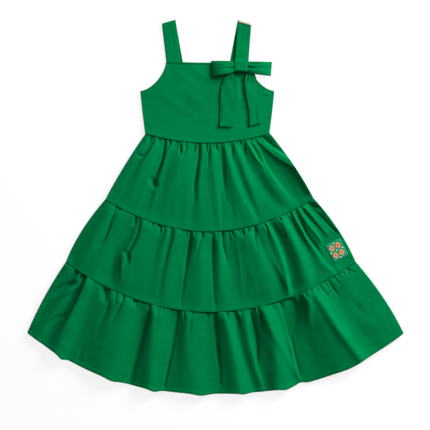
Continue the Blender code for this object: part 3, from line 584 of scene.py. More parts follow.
def tier_relief(tier, share, drop, x, y, length):
    """How far the cloth's top stands above the place where it would lie flat."""
    below_seam = np.maximum(drop, 0.0) * length
    above_edge = (1.0 - drop) * length
    lines = fold_lines(tier.lines, share, drop)
    level = tier.seam_height + (FOLD_MIDDLE - tier.seam_height) * smooth(below_seam / SEAM_EASE)
    freed = SEAM_PINCH + (1.0 - SEAM_PINCH) * smooth(below_seam / SEAM_PINCH_REACH)
    height = level + (lines - FOLD_MIDDLE) * freed
    if tier.bottom is not HEM:
        end = LOWER_PINCH + (1.0 - LOWER_PINCH) * smooth(above_edge / LOWER_PINCH_REACH)
        height = LOWER_SEAM_HEIGHT + (height - LOWER_SEAM_HEIGHT) * end
    folds = crease_relief(tier, tier.creases + small_tucks(tier), x, y)
    soft = SOFT_WAVE * wandering(tier.seed, share, drop, 26, 3)
    soft = soft + SOFT_RIPPLE * wandering(tier.seed + 1, share, drop, 60, 5)
    height = height + folds * (1.0 - np.exp(-below_seam / PUFF_RISE)) + soft * smooth(drop / 0.3)
    height = 0.5 * (height + np.sqrt(height * height + REST_ROUNDING))
    height = height - tier.trench * np.exp(-below_seam / TRENCH_REACH)
    if tier.bottom is HEM:
        turned_up = 0.5 * smooth((HEM_BAND + 0.6 - above_edge) / 1.2)
        drawn_in = 0.7 * hump(above_edge, HEM_BAND + 1.2, 1.0)
        edge = turned_up - drawn_in - 0.3 * smooth((0.8 - above_edge) / 0.8)
    else:
        edge = np.exp(-above_edge / LOWER_LIP_REACH) - 0.3 * smooth((0.7 - above_edge) / 0.7)
    return height + edge - UNDERLAP_DEPTH * smooth(-drop * length / UNDERLAP)


def tier_surface(tier, share, drop):
    """The points of a tier's top side, in millimetres, and its cloth map."""
    x, y, length = tier_plan(tier, share, drop)
    relief = tier_relief(tier, share, drop, x, y, length)
    if tier.name == "tier2":
        near_patch = np.hypot(x - PATCH_PLACE[0], y - PATCH_PLACE[1])
        flat = 1.0 - smooth((near_patch - PATCH_FLAT_RADIUS) / PATCH_BLEND)
        relief = relief + (PATCH_REST - relief) * flat
    side = smooth(share / SIDE_RAMP) * smooth((1.0 - share) / SIDE_RAMP)
    height = np.maximum(FRONT_REST + CLOTH_WALL + SEAM_GAP + side * relief, LOWEST_TOP)
    width = 0.5 * (seam_run(tier.top, share)[2] + seam_run(tier.bottom, share)[2])
    return np.stack([x, y, height], axis=-1), np.stack([(share - 0.5) * width, -drop * length], axis=-1)


def make_thread(name, colour):
    """Sewing thread, with faint uneven shade along it."""
    material, tree, shader = new_material(name, roughness=0.7, specular=0.1)
    place = add_node(tree, "ShaderNodeTexCoord").outputs["Object"]
    noise = add_node(tree, "ShaderNodeTexNoise", Vector=place, Scale=700.0, Detail=1.0).outputs["Fac"]
    dark, light = [tuple(share * part for part in colour) for share in (0.8, 1.1)]
    tree.links.new(shades(tree, noise, (0.0, dark), (1.0, light)), shader.inputs["Base Color"])
    return material


def stitch_tool():
    """Geometry nodes that lay a stitch at even steps along every run of edges."""
    tree = bpy.data.node_groups.new("stitch_tool", "GeometryNodeTree")
    kinds = {
        "Geometry": "Geometry", "Step": "Float", "Length": "Float", "Radius": "Float", "Seed": "Int",
        "Thread": "Material",
    }
    for label, kind in kinds.items():
        tree.interface.new_socket(name=label, in_out="INPUT", socket_type="NodeSocket" + kind)
    tree.interface.new_socket(name="Geometry", in_out="OUTPUT", socket_type="NodeSocketGeometry")
    given = tree.nodes.new("NodeGroupInput").outputs
    curve = add_node(tree, "GeometryNodeMeshToCurve", Mesh=given["Geometry"]).outputs["Curve"]
    steps = add_node(
        tree, "GeometryNodeCurveToPoints", {"mode": "LENGTH"}, Curve=curve, Length=given["Step"],
    ).outputs
    half = arithmetic(tree, "MULTIPLY", given["Length"], 0.5)
    size = add_node(tree, "ShaderNodeCombineXYZ", X=given["Radius"], Y=given["Radius"], Z=half)
    ball = add_node(tree, "GeometryNodeMeshIcoSphere", Radius=1.0, Subdivisions=2).outputs["Mesh"]
    thread = add_node(tree, "GeometryNodeTransform", Geometry=ball, Scale=size.outputs["Vector"])
    uneven = add_node(
        tree, "FunctionNodeRandomValue", {"data_type": "FLOAT"}, Seed=given["Seed"], i2=0.8, i3=1.15,
    )
    laid = add_node(
        tree, "GeometryNodeInstanceOnPoints", Points=steps["Points"],
        Instance=thread.outputs["Geometry"], Rotation=steps["Rotation"], Scale=uneven.outputs[1],
    ).outputs["Instances"]
    whole = add_node(tree, "GeometryNodeRealizeInstances", Geometry=laid).outputs["Geometry"]
    painted = add_node(tree, "GeometryNodeSetMaterial", Geometry=whole, Material=given["Thread"])
    result = tree.nodes.new("NodeGroupOutput")
    tree.links.new(painted.outputs["Geometry"], result.inputs["Geometry"])
    return tree


def stitch_rows(name, runs, thread, step=3.2, length=2.3, radius=0.22):
    """Rows of stitches along runs of points in millimetres, as one plain mesh."""
    verts, edges = [], []
    for run in runs:
        first = len(verts)
        verts += (np.asarray(run) * MM).tolist()
        edges += [(first + i, first + i + 1) for i in range(len(run) - 1)]
    mesh = bpy.data.meshes.new(name + "_path")
    mesh.from_pydata(verts, edges, [])
    piece = bpy.data.objects.new(name, mesh)
    bpy.context.scene.collection.objects.link(piece)
    laying = piece.modifiers.new("stitches", "NODES")
    laying.node_group = stitch_nodes
    values = {"Step": step * MM, "Length": length * MM, "Radius": radius * MM, "Seed": 7, "Thread": thread}
    for item in stitch_nodes.interface.items_tree:
        if item.in_out == "INPUT" and item.name in values:
            laying[item.identifier] = values[item.name]
    bpy.context.view_layer.update()
    settled = piece.evaluated_get(bpy.context.evaluated_depsgraph_get())
    plain = bpy.data.meshes.new_from_object(settled)
    piece.modifiers.clear()
    piece.data = plain
    plain.name = name
    plain.shade_smooth()
    return piece


stitch_nodes = stitch_tool()
green_thread = make_thread("green_thread", (0.0, 0.215, 0.066))


def hem_stitching():
    """The stitching that holds the turned hem of the lowest tier."""
    tier = TIERS[2]
    share = np.linspace(0.012, 0.988, 480)
    length = tier_plan(tier, share, np.ones_like(share))[2]
    points = tier_surface(tier, share, 1.0 - HEM_BAND / length)[0]
    return stitch_rows("hem_stitching", [points], green_thread)


def tier_front(tier):
    """The front panel of a tier."""
    even_drop = np.linspace(0.0, 1.0, TIER_ROWS - 1) ** ROW_CROWDING
    drop = np.concatenate([UNDERLAP_ROWS, even_drop[:-1], [1.0 - LOWER_RIM, 1.0]])
    even_share = np.linspace(0.0, 1.0, TIER_COLUMNS + 1)[1:-1]
    share = np.concatenate([[0.0, SIDE_RIM], even_share, [1.0 - SIDE_RIM, 1.0]])
    share, drop = np.meshgrid(share, drop)
    points, cloth_map = tier_surface(tier, share, drop)
    piece = cloth_grid(tier.name + "_front_cloth", points, cloth_map, jersey)
    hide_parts(tier.name + "_front")
    return piece


def tier_back(tier):
    """The back panel of a tier, flat on the floor but for faint tucks."""
    share, drop = np.meshgrid(np.linspace(0.0, 1.0, 241), np.linspace(-0.004, 1.0, 20))
    x, y, length = tier_plan(tier, share, drop)
    tucks = crease_relief(tier, tier.creases, x, y)
    lift = BACK_TUCK * smooth(-tucks / 8.0) * smooth(np.minimum(share, 1.0 - share) / 0.03)
    points = np.stack([x, y, CLOTH_WALL + lift], axis=-1)
    cloth_map = np.stack([(share - 0.5) * BACK_MAP_WIDTH, -drop * length], axis=-1)
    piece = cloth_grid(tier.name + "_back_cloth", points, cloth_map, jersey)
    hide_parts(tier.name + "_back")
    return piece


Cut = namedtuple("Cut", "width length")
hem_stitches = hem_stitching()
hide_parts("tier3_front")
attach(hem_stitches, "root")
for skirt_tier in TIERS:
    for panel in (tier_back(skirt_tier), tier_front(skirt_tier)):
        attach(panel, "root")
        extras = [hem_stitches] if panel.name == "tier3_front_cloth" else []

# Bodice
# A plain square-necked front over a like back, both cut from one layer of jersey. The neck edge and
# the armholes are turned under in narrow stitched hems, and the cloth is a little full at the waist.
BODICE_AXIS = -17.0
NECK_HALF_WIDTH = 86.6
CHEST_HALF_WIDTH = 140.6
WAIST_HALF_WIDTH = 130.5
NECK_Y = 306.4
BACK_NECK_Y = 300.0
ARMHOLE_Y = 244.4
ARMHOLE_POWER = 1.63
ARMHOLE_SHARE = 0.5
NECK_DIP = 2.5
WAIST_LIFT = 2.4
WAIST_LIFT_REACH = 70.0
WAIST_RIM = 1.9
WAIST_RIM_REACH = 9.0
BOW_PULL = 2.4
BOW_PULL_PLACE = (54.0, 250.0)
BOW_PULL_REACH = (30.0, 36.0)
NECK_BAND = 3.6
NECK_PUCKER_X = -96.0
NECK_PUCKER_REACH = 34.0
ARMHOLE_BAND = 6.5
ARMHOLE_STITCHES = 5.0
NECK_STITCH_SHARE = 0.0195
BODICE_TOP = FRONT_REST + SEAM_GAP + CLOTH_WALL + 0.6
Wrinkle = namedtuple("Wrinkle", "start_x start_y end_x end_y half_width height")
WRINKLES = [
    Wrinkle(-120.0, 250.0, -60.0, 190.0, 9.0, 0.9),
    Wrinkle(-80.0, 262.0, -20.0, 205.0, 10.0, 0.8),
    Wrinkle(-88.0, 292.0, -30.0, 240.0, 7.0, 0.8),
    Wrinkle(-60.0, 300.0, -5.0, 262.0, 6.0, 0.7),
    Wrinkle(-100.0, 215.0, -45.0, 172.0, 8.0, -0.7),
    Wrinkle(60.0, 225.0, 105.0, 180.0, 9.0, 0.8),
    Wrinkle(96.0, 242.0, 118.0, 236.0, 4.0, 1.2),
    Wrinkle(100.0, 228.0, 114.0, 212.0, 5.0, -1.0),
    Wrinkle(44.0, 235.0, 66.0, 225.0, 6.0, 1.0),
    Wrinkle(44.0, 208.0, 66.0, 205.0, 5.0, -0.9),
    Wrinkle(52.0, 284.0, 58.0, 205.0, 6.0, -2.6),
    Wrinkle(38.0, 284.0, 56.0, 272.0, 5.0, -2.0),
]


def waist_y(x):
    """The height of the waist seam up the dress."""
    across = (x - WAIST.left_x) / (WAIST.right_x - WAIST.left_x)
    return WAIST.left_y - WAIST.sag * (1.0 - np.abs(2.0 * across - 1.0) ** WAIST.squareness)


def bodice_relief(x, y):
    """How far the bodice front stands up."""
    above = np.maximum(0.0, y - waist_y(x))
    relief = WAIST_LIFT * smooth(1.0 - above / WAIST_LIFT_REACH)
    relief = relief + WAIST_RIM * np.exp(-above / WAIST_RIM_REACH)
    pulled = hump(x, BOW_PULL_PLACE[0], BOW_PULL_REACH[0]) * hump(y, BOW_PULL_PLACE[1], BOW_PULL_REACH[1])
    relief = relief + BOW_PULL * pulled
    for crease in WRINKLES:
        run_x, run_y = crease.end_x - crease.start_x, crease.end_y - crease.start_y
        reach = math.hypot(run_x, run_y)
        along = ((x - crease.start_x) * run_x + (y - crease.start_y) * run_y) / reach ** 2
        across = ((x - crease.start_x) * run_y - (y - crease.start_y) * run_x) / reach
        ends = np.maximum(0.0, 4.0 * along * (1.0 - along))
        relief = relief + crease.height * ends * hump(across, 0.0, crease.half_width)
    return np.maximum(0.0, relief)


def bodice_plan(across, down, neck_y):
    """The plan of the bodice at shares of its width and height."""
    angle = 0.5 * math.pi * np.minimum(down / ARMHOLE_SHARE, 1.0)
    scoop = np.maximum(np.cos(angle), 0.0) ** (2.0 / ARMHOLE_POWER)
    rise = 1.0 - np.sin(angle) ** (2.0 / ARMHOLE_POWER)
    low = np.clip((down - ARMHOLE_SHARE) / (1.0 - ARMHOLE_SHARE), 0.0, 1.0)
    upper_width = CHEST_HALF_WIDTH + (NECK_HALF_WIDTH - CHEST_HALF_WIDTH) * scoop
    half_width = upper_width + (WAIST_HALF_WIDTH - CHEST_HALF_WIDTH) * low ** 1.2
    side_y = ARMHOLE_Y + (neck_y - ARMHOLE_Y) * rise + (WAIST.left_y + SEAM_GAP - ARMHOLE_Y) * low
    dip = NECK_DIP + (WAIST.sag - NECK_DIP) * down
    curve = 1.0 - (2.0 * across - 1.0) ** 2
    return BODICE_AXIS + (2.0 * across - 1.0) * half_width, side_y - dip * curve, half_width


def bodice_surface(across, down):
    """The points of the bodice front's top side."""
    x, y, half_width = bodice_plan(across, down, NECK_Y)
    from_neck = NECK_Y - NECK_DIP * (1.0 - (2.0 * across - 1.0) ** 2) - y
    from_side = half_width * (1.0 - np.abs(2.0 * across - 1.0))
    armhole = 1.0 - smooth((down - ARMHOLE_SHARE) / 0.03)
    band = 0.5 * (1.0 - smooth((from_neck - NECK_BAND + 0.4) / 0.8))
    pucker = hump(x, NECK_PUCKER_X, NECK_PUCKER_REACH)
    groove = (0.5 + 1.8 * pucker) * hump(from_neck, NECK_BAND + 1.0, 1.1)
    band = np.maximum(band, 0.4 * armhole * (1.0 - smooth(from_side - ARMHOLE_BAND + 0.5)))
    height = BODICE_TOP + bodice_relief(x, y) + band - groove
    return np.stack([x, y, height], axis=-1)


def bodice_back():
    """The back of the bodice, flat on the floor."""
    across, down = np.meshgrid(np.linspace(0.0, 1.0, 61), np.linspace(0.0, 1.0, 51))
    x, y, _ = bodice_plan(across, down, BACK_NECK_Y)
    points = np.stack([x, y, np.full_like(x, CLOTH_WALL)], axis=-1)
    piece = cloth_grid("bodice_back_cloth", points, points[:, :, :2], jersey)
    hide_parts("bodice_back")
    return piece


def bodice_front():
    """The front of the bodice, on the back."""
    across, down = np.meshgrid(np.linspace(0.0, 1.0, 191), np.linspace(0.0, 1.0, 161) ** 1.1)
    points = bodice_surface(across, down)
    piece = cloth_grid("bodice_front_cloth", points, points[:, :, :2], jersey)
    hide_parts("bodice_front")
    return piece


def bodice_stitching():
    """The stitching along the neck edge and both armholes of the front."""
    runs = []
    for side in (-1.0, 1.0):
        down = np.linspace(0.03, ARMHOLE_SHARE, 60)
        half_width = bodice_plan(np.full_like(down, 0.5), down, NECK_Y)[2]
        inward = 0.5 * (1.0 - ARMHOLE_STITCHES / half_width)
        runs.append(bodice_surface(0.5 + side * inward, down))
    across = np.linspace(0.03, 0.97, 80)
    runs.append(bodice_surface(across, np.full_like(across, NECK_STITCH_SHARE)))
    return stitch_rows("bodice_stitching", runs, green_thread)


bodice_stitches = bodice_stitching()
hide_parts("bodice_front")
for panel, extras in ((bodice_back(), []), (bodice_front(), [bodice_stitches])):
    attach(panel, "root")
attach(bodice_stitches, "root")

# Straps
# Two flat strips of doubled jersey, each folded over at the shoulder. The front half is sewn behind
# the neck edge, the back half runs down to the back, and the front half arches between its ends.
STRAP_WIDTH = 29.0
STRAP_FOLD = 6.2
STRAP_MIDDLE = 2.7
STRAP_END = 4.1
StrapPlan = namedtuple(
    "StrapPlan", "name left_top right_top front_left front_right back_left back_right crease curl roll",
)
STRAPS = [
    StrapPlan("strap_left", (-112.1, 386.2), (-83.0, 394.2), -102.6, -72.8, -96.0, -66.6, 0.62, 1.0, 0.0),
    StrapPlan("strap_right", (46.4, 394.2), (75.2, 385.6), 40.0, 69.3, 28.4, 57.7, 0.30, 0.0, 2.4),
]
STRAP_ARCH_POWER = 1.3
STRAP_CORNER_DROP = 1.6
STRAP_BACK_RISE = 0.8
STRAP_CURL = 1.7
STRAP_EDGE_RISE = 0.5
STRAP_CREASE_DEPTH = 0.45
STRAP_TUCK_DEPTH = 1.1
STRAP_STREAK = 0.14
STRAP_ROW = 1.9
STRAP_FRONT_END = 303.6
STRAP_BACK_END = 300.3


def strap_surface(plan, across, run):
    """Points of a strap. Run goes from 0 at the back end, through 1 to 2 at the fold, to 3 in front."""
    back = np.clip(run, 0.0, 1.0)
    front = np.clip(run - 2.0, 0.0, 1.0)
    turn = math.pi * (np.clip(run - 1.0, 0.0, 1.0) - 0.5)
    from_side = np.minimum(across, 1.0 - across)
    corner = STRAP_CORNER_DROP * np.exp(-28.0 * from_side)
    sides = []
    for top, back_x, front_x in (
        (plan.left_top, plan.back_left, plan.front_left),
        (plan.right_top, plan.back_right, plan.front_right),
    ):
        x = back_x + (top[0] - back_x) * back + (front_x - top[0]) * front
        y = STRAP_BACK_END + (top[1] - STRAP_BACK_END) * back + (STRAP_FRONT_END - top[1]) * front
        sides.append((x, y))
    (left_x, left_y), (right_x, right_y) = sides
    x = left_x + (right_x - left_x) * across
    y = left_y + (right_y - left_y) * across
    folded = 0.5 * STRAP_FOLD * (np.cos(turn) - 1.0)
    y = y + folded - corner * (1.0 - front)
    low = STRAP_BACK_RISE * smooth((back - 0.6) / 0.4)
    curl = STRAP_CURL * smooth(plan.curl * (across - 0.5) * 4.0 - 1.0) * smooth(1.0 - back / 0.8)
    height = low + curl + 0.5 * (STRAP_FOLD - low) * (1.0 + np.sin(turn))
    sink = (STRAP_MIDDLE - STRAP_FOLD) * (1.0 - np.maximum(0.0, 1.0 - 2.0 * front) ** STRAP_ARCH_POWER)
    arch = sink + (STRAP_END - STRAP_MIDDLE) * np.maximum(0.0, 2.0 * front - 1.0) ** STRAP_ARCH_POWER
    arch = arch + plan.roll * (1.0 - across) * np.sin(math.pi * front ** 1.4)
    edge = STRAP_EDGE_RISE * np.exp(-from_side * STRAP_WIDTH / 0.7)
    crease = STRAP_CREASE_DEPTH * hump(across, plan.crease, 0.8 / STRAP_WIDTH) * smooth(front / 0.1)
    tuck = STRAP_TUCK_DEPTH * smooth((front - 0.93) / 0.05)
    streaks = STRAP_STREAK * wandering(71, across, front, 4, 46) * smooth((across - 0.4) / 0.2)
    height = height + arch + (streaks - crease - tuck) * smooth(front / 0.03) - edge * np.sin(turn)
    return np.stack([x, y, height], axis=-1)


def strap(plan):
    """One strap, from its back end over the fold to its front end."""
    back, turn, front = np.linspace(0.0, 1.0, 13), np.linspace(1.0, 2.0, 11), np.linspace(2.0, 3.0, 71)
    run = np.concatenate([back[:-1], turn, front[1:]])
    across, run = np.meshgrid(np.linspace(0.0, 1.0, 25), run)
    points = strap_surface(plan, across, run)
    down = np.cumsum(np.full_like(run, STRAP_ROW), axis=0)
    cloth_map = np.stack([across * STRAP_WIDTH, -down], axis=-1)
    piece = cloth_grid(plan.name + "_cloth", points, cloth_map, jersey)
    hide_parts(plan.name)
    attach(piece, "root")
    run = np.linspace(2.04, 2.92, 40)
    edges = [strap_surface(plan, np.full_like(run, share), run) for share in (0.055, 0.945)]
    short = np.linspace(2.04, 2.16, 8)
    edges.append(strap_surface(plan, np.full_like(short, 0.80 if plan.crease > 0.5 else 0.2), short))
    stitches = stitch_rows(plan.name + "_stitching", edges, green_thread)
    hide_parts(plan.name)
    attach(stitches, "root")


for shoulder in STRAPS:
    strap(shoulder)

# Shoulder tape
# A narrow pale twill tape is laid over the fold of the right strap, to stop it from stretching.
TAPE_COLOUR = (0.52, 0.50, 0.37)
TAPE_DARK = (0.39, 0.37, 0.27)
TAPE_LIFT = 0.8
TAPE_WALL = 0.5
TAPE_RUN = 5.0


def make_twill():
    """Pale twill, whose slanting ribs follow the tape's own map."""
    material, tree, shader = new_material("pale_twill", roughness=0.8, specular=0.5)
    cloth_map = add_node(tree, "ShaderNodeUVMap", {"uv_map": "cloth"}).outputs["UV"]
    turned = add_node(tree, "ShaderNodeMapping", Vector=cloth_map, Rotation=(0.0, 0.0, math.radians(45.0)))
    ribs = add_node(
        tree, "ShaderNodeTexWave", {"wave_type": "BANDS", "bands_direction": "X"},
        Vector=turned.outputs["Vector"], Scale=320.0, Distortion=1.0, Detail=1.0,
    ).outputs["Fac"]
    tree.links.new(shades(tree, ribs, (0.0, TAPE_DARK), (1.0, TAPE_COLOUR)), shader.inputs["Base Color"])
    raise_grain(tree, shader, ribs)
    return material


def shoulder_tape(plan):
    """The tape, bent over the fold with it."""
    back, turn, front = np.linspace(0.96, 1.0, 4), np.linspace(1.0, 2.0, 11), np.linspace(2.0, 2.02, 4)
    row = np.concatenate([back, turn[1:], front[1:]])
    across, row = np.meshgrid(np.linspace(0.04, 0.96, 25), row)
    points = strap_surface(plan, across, row)
    turn = math.pi * (np.clip(row - 1.0, 0.0, 1.0) - 0.5)
    points[:, :, 1] += TAPE_LIFT * np.cos(turn) * 0.8
    points[:, :, 2] += TAPE_LIFT * np.sin(turn) * np.where(turn < 0.0, 0.9, 1.1)
    cloth_map = np.stack([across * STRAP_WIDTH, -(row - 1.0) * TAPE_RUN], axis=-1)
    piece = cloth_grid("strap_tape_cloth", points, cloth_map, make_twill(), TAPE_WALL)
    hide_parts("strap_tape")
    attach(piece, "root")


shoulder_tape(STRAPS[1])

# Bow loops
# The bow is one flat strip of doubled jersey. Each loop leaves the knot, turns over and comes back
# into it, so that the cloth is drawn in there and runs out in long shallow wrinkles.
KNOT_X = 53.5
KNOT_Y = 296.6
KNOT_BASE = 5.9
KNOT_SHARE = 0.22
Loop = namedtuple("Loop", "name reach slant knot_top knot_bottom outer_top outer_bottom tilt seed")
LOOPS = [
    Loop("bow_loop_left", -63.0, 4.5, 305.6, 284.5, 307.4, 274.8, 5.0, 5),
    Loop("bow_loop_right", 65.2, -2.2, 305.6, 283.8, 304.8, 275.0, 0.0, 9),
]
# The loop's strip in section: share of the reach from the knot's middle, height above KNOT_BASE
LoopPoint = namedtuple("LoopPoint", "out up")
LOOP_SECTION = [
    LoopPoint(0.03, 2.4), LoopPoint(0.22, 2.2), LoopPoint(0.34, 1.0), LoopPoint(0.60, 0.7),
    LoopPoint(0.86, 0.7), LoopPoint(0.965, 1.2), LoopPoint(1.0, 2.6), LoopPoint(0.965, 4.4),
    LoopPoint(0.82, 7.4), LoopPoint(0.60, 9.4), LoopPoint(0.40, 9.4), LoopPoint(0.22, 7.9),
    LoopPoint(0.03, 6.8),
]
LOOP_WIDTH = 31.0
LOOP_WRINKLES = 7
LOOP_WRINKLE_HEIGHTS = [-1.3, -1.0, 0.8, 1.0]
LOOP_RIM_DROP = 1.5
LoopPleat = namedtuple("LoopPleat", "share half_width height")
LOOP_PLEATS = [LoopPleat(0.36, 0.13, 1.2), LoopPleat(0.78, 0.11, 1.0), LoopPleat(0.56, 0.035, -3.4)]
LOOP_PLEAT_REACH = 0.20


def bow_loop(loop):
    """One loop of the bow."""
    section = eased(LOOP_SECTION, 8)
    out, up = section[:, :1], section[:, 1:]
    share = np.linspace(0.0, 1.0, 41)[None, :]
    beyond = np.clip((out - KNOT_SHARE) / (1.0 - KNOT_SHARE), 0.0, 1.0)
    flare = beyond ** 0.55
    top = loop.knot_top + (loop.outer_top - loop.knot_top) * flare
    bottom = loop.knot_bottom + (loop.outer_bottom - loop.knot_bottom) * flare
    x = KNOT_X + loop.reach * out + loop.slant * share * out ** 3
    y = top + (bottom - top) * share
    row = np.linspace(0.0, 1.0, len(section))[:, None]
    upper = smooth((row - 0.55) / 0.1)
    pleats = sum(pleat.height * hump(share, pleat.share, pleat.half_width) for pleat in LOOP_PLEATS)
    wrinkles = pleats * hump(out, KNOT_SHARE, LOOP_PLEAT_REACH)
    draw = random.Random(loop.seed)
    for line in range(LOOP_WRINKLES):
        middle = 0.08 + 0.14 * line + draw.uniform(-0.03, 0.03)
        start, reach = draw.uniform(0.2, 0.7), draw.uniform(0.18, 0.35)
        depth = draw.choice(LOOP_WRINKLE_HEIGHTS)
        drift = draw.uniform(-0.05, 0.05) * (out - start)
        wrinkles = wrinkles + depth * hump(share, middle + drift, 0.032) * hump(out, start, reach)
    rim = -LOOP_RIM_DROP * np.abs(2.0 * share - 1.0) ** 8
    tilted = 0.7 * share * np.sin(math.pi * beyond) - 0.65 * beyond * beyond * (1.0 - share)
    height = KNOT_BASE + up + loop.tilt * tilted + upper * (wrinkles + rim)
    points = np.stack(np.broadcast_arrays(x, y, height), axis=-1)
    run = np.concatenate([[0.0], np.cumsum(np.linalg.norm(np.diff(points[:, 20], axis=0), axis=1))])
    cloth_map = np.stack(np.broadcast_arrays(share * LOOP_WIDTH, -run[:, None]), axis=-1)
    if loop.reach < 0.0:
        points, cloth_map = points[:, ::-1], cloth_map[:, ::-1]
    piece = cloth_grid(loop.name + "_cloth", points, cloth_map, jersey_turned)
    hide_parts(loop.name)
    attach(piece, "root")


jersey_turned = make_jersey("green_jersey_turned", turned=True)
for bow_side in LOOPS:
    bow_loop(bow_side)

# Knot
# A short strip wrapped round the middle of the loops and sewn behind them. It is drawn into fine
# upright pleats, and its lower edge arches clear of the bodice.
KNOT_WIDTH = 27.3
KNOT_LENGTH = 26.0
KNOT_HEIGHT = 10.0
KNOT_ARCH = 1.4
KNOT_SQUARENESS = 0.62
KNOT_RIBS = 9
KNOT_RIB_HEIGHT = 0.18
KNOT_UNEVEN = 0.25
KNOT_WAIST = 0.05
KNOT_END_DROP = 0.9
KNOT_SHIFT = 0.4
KNOT_RISE = 0.4


def bow_knot():
    """The band of the knot, a flat tube along the bow."""
    angle, along = np.meshgrid(np.linspace(0.0, math.tau, 97), np.linspace(0.0, 1.0, 65))
    angle = angle - 0.5 * math.pi
    waisted = 1.0 - KNOT_WAIST * np.sin(math.pi * along)
    across = np.sign(np.sin(angle)) * np.abs(np.sin(angle)) ** KNOT_SQUARENESS
    lift = np.sign(np.cos(angle)) * np.abs(np.cos(angle)) ** KNOT_SQUARENESS
    ribs = KNOT_RIB_HEIGHT * np.sin(math.tau * KNOT_RIBS * (along + 0.02 * np.sin(2.0 * angle)))
    ribs = ribs + KNOT_UNEVEN * wandering(3, along, (angle + 2.0) / 9.0, 18, 5)
    ends = KNOT_END_DROP * np.abs(2.0 * along - 1.0) ** 6
    x = KNOT_X + KNOT_WIDTH * (along - 0.5)
    y = KNOT_Y + KNOT_SHIFT + 0.5 * KNOT_LENGTH * waisted * across
    lower_front = smooth((-across - 0.1) / 0.9) * smooth((lift + 0.4) / 0.8)
    arched = KNOT_ARCH * lower_front * np.sin(math.pi * along) ** 0.5
    middle = KNOT_BASE + 0.5 * KNOT_HEIGHT + KNOT_RISE
    height = middle + (0.5 * KNOT_HEIGHT + ribs - ends) * lift + arched
    points = np.stack([x, y, height], axis=-1)
    cloth_map = np.stack([-angle * 10.0, along * KNOT_WIDTH], axis=-1)
    piece = cloth_grid("bow_knot_cloth", points, cloth_map, jersey_turned)
    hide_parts("bow_knot")
    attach(piece, "root")


bow_knot()

# Bow tails
# Two hanging ends of doubled jersey, drawn together under the knot and stitched round their edges.
# They lie on the bodice, and their cut ends stand a little clear of it.
Tail = namedtuple("Tail", "name seed rows")
TailRow = namedtuple("TailRow", "left_x left_y right_x right_y")
TAILS = [
    Tail("bow_tail_left", 43, [
        TailRow(37.0, 293.0, 46.0, 291.0), TailRow(29.0, 281.0, 37.0, 276.0),
        TailRow(15.6, 265.0, 43.8, 263.0), TailRow(11.6, 243.0, 42.6, 243.0),
        TailRow(9.6, 207.0, 39.6, 207.0), TailRow(9.2, 169.7, 38.2, 168.4),
    ]),
    Tail("bow_tail_right", 66, [
        TailRow(60.0, 292.0, 72.0, 292.0), TailRow(64.6, 279.0, 81.5, 279.5),
        TailRow(61.0, 265.0, 87.4, 264.0), TailRow(63.6, 238.0, 94.0, 240.0),
        TailRow(69.6, 206.0, 98.0, 208.0), TailRow(72.0, 170.1, 99.3, 178.7),
    ]),
]
TAIL_WIDTH = 29.0
TAIL_LENGTH = 124.0
TAIL_WALL = 1.0
TAIL_STITCH_INSET = 0.085
TAIL_PINCH_PLACE = 0.22
TAIL_PINCH_RISE = 2.4
TAIL_PLEATS = 2.6
TAIL_PLEAT_HEIGHT = 0.9
TAIL_WAVE = 0.9
TAIL_FAR_EDGE_RISE = 1.1
TAIL_GROOVE = 0.35
TAIL_EDGE_DROP = 0.6
TAIL_END_RISE = 1.8
TAIL_BODY_RISE = 0.8
TAIL_CLEAR = 1.1


def tail_surface(tail, share, run):
    """Points of a tail at shares of its width and length."""
    table = eased(tail.rows, 12)
    place = run * (len(table) - 1.0)
    index = np.minimum(place.astype(int), len(table) - 2)
    part = (place - index)[..., None]
    row = table[index] + (table[index + 1] - table[index]) * part
    x = row[..., 0] + (row[..., 2] - row[..., 0]) * share
    y = row[..., 1] + (row[..., 3] - row[..., 1]) * share
    pinch = hump(run, TAIL_PINCH_PLACE, 0.13)
    pleats = pinch * (TAIL_PINCH_RISE + TAIL_PLEAT_HEIGHT * np.cos(math.tau * TAIL_PLEATS * share + 0.8))
    wave = TAIL_WAVE * wandering(tail.seed, share, run, 4, 9)
    wave = wave + TAIL_FAR_EDGE_RISE * np.exp((share - 1.0) / 0.05)
    edge = np.minimum(share, 1.0 - share)
    groove = TAIL_GROOVE * hump(edge, TAIL_STITCH_INSET, 0.03) + TAIL_EDGE_DROP * np.exp(-edge / 0.02)
    lifted = TAIL_END_RISE * smooth((run - 0.8) / 0.2) ** 2 + TAIL_BODY_RISE * smooth((run - 0.1) / 0.2)
    lowest = BODICE_TOP + bodice_relief(x, y) + TAIL_CLEAR + CLOTH_WALL + 0.6
    return np.stack([x, y, lowest + lifted + pleats + wave - groove], axis=-1)


def bow_tail(tail):
    """One tail, with its row of stitches just inside its edges."""
    share, run = np.meshgrid(np.linspace(0.0, 1.0, 41), np.linspace(0.0, 1.0, 111))
    points = tail_surface(tail, share, run)
    cloth_map = np.stack([share * TAIL_WIDTH, -run * TAIL_LENGTH], axis=-1)
    piece = cloth_grid(tail.name + "_cloth", points, cloth_map, jersey, TAIL_WALL)
    sides = TAIL_STITCH_INSET, 1.0 - TAIL_STITCH_INSET
    run = np.linspace(TAIL_PINCH_PLACE, 0.975, 60)
    edges = [tail_surface(tail, np.full_like(run, side), run) for side in sides]
    across = np.linspace(*sides, 12)
    edges.append(tail_surface(tail, across, np.full_like(across, 0.978)))
    stitches = stitch_rows(tail.name + "_stitching", edges, green_thread)
    for part in (piece, stitches):
        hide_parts(tail.name)
        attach(part, "root")


for hanging in TAILS:
    bow_tail(hanging)

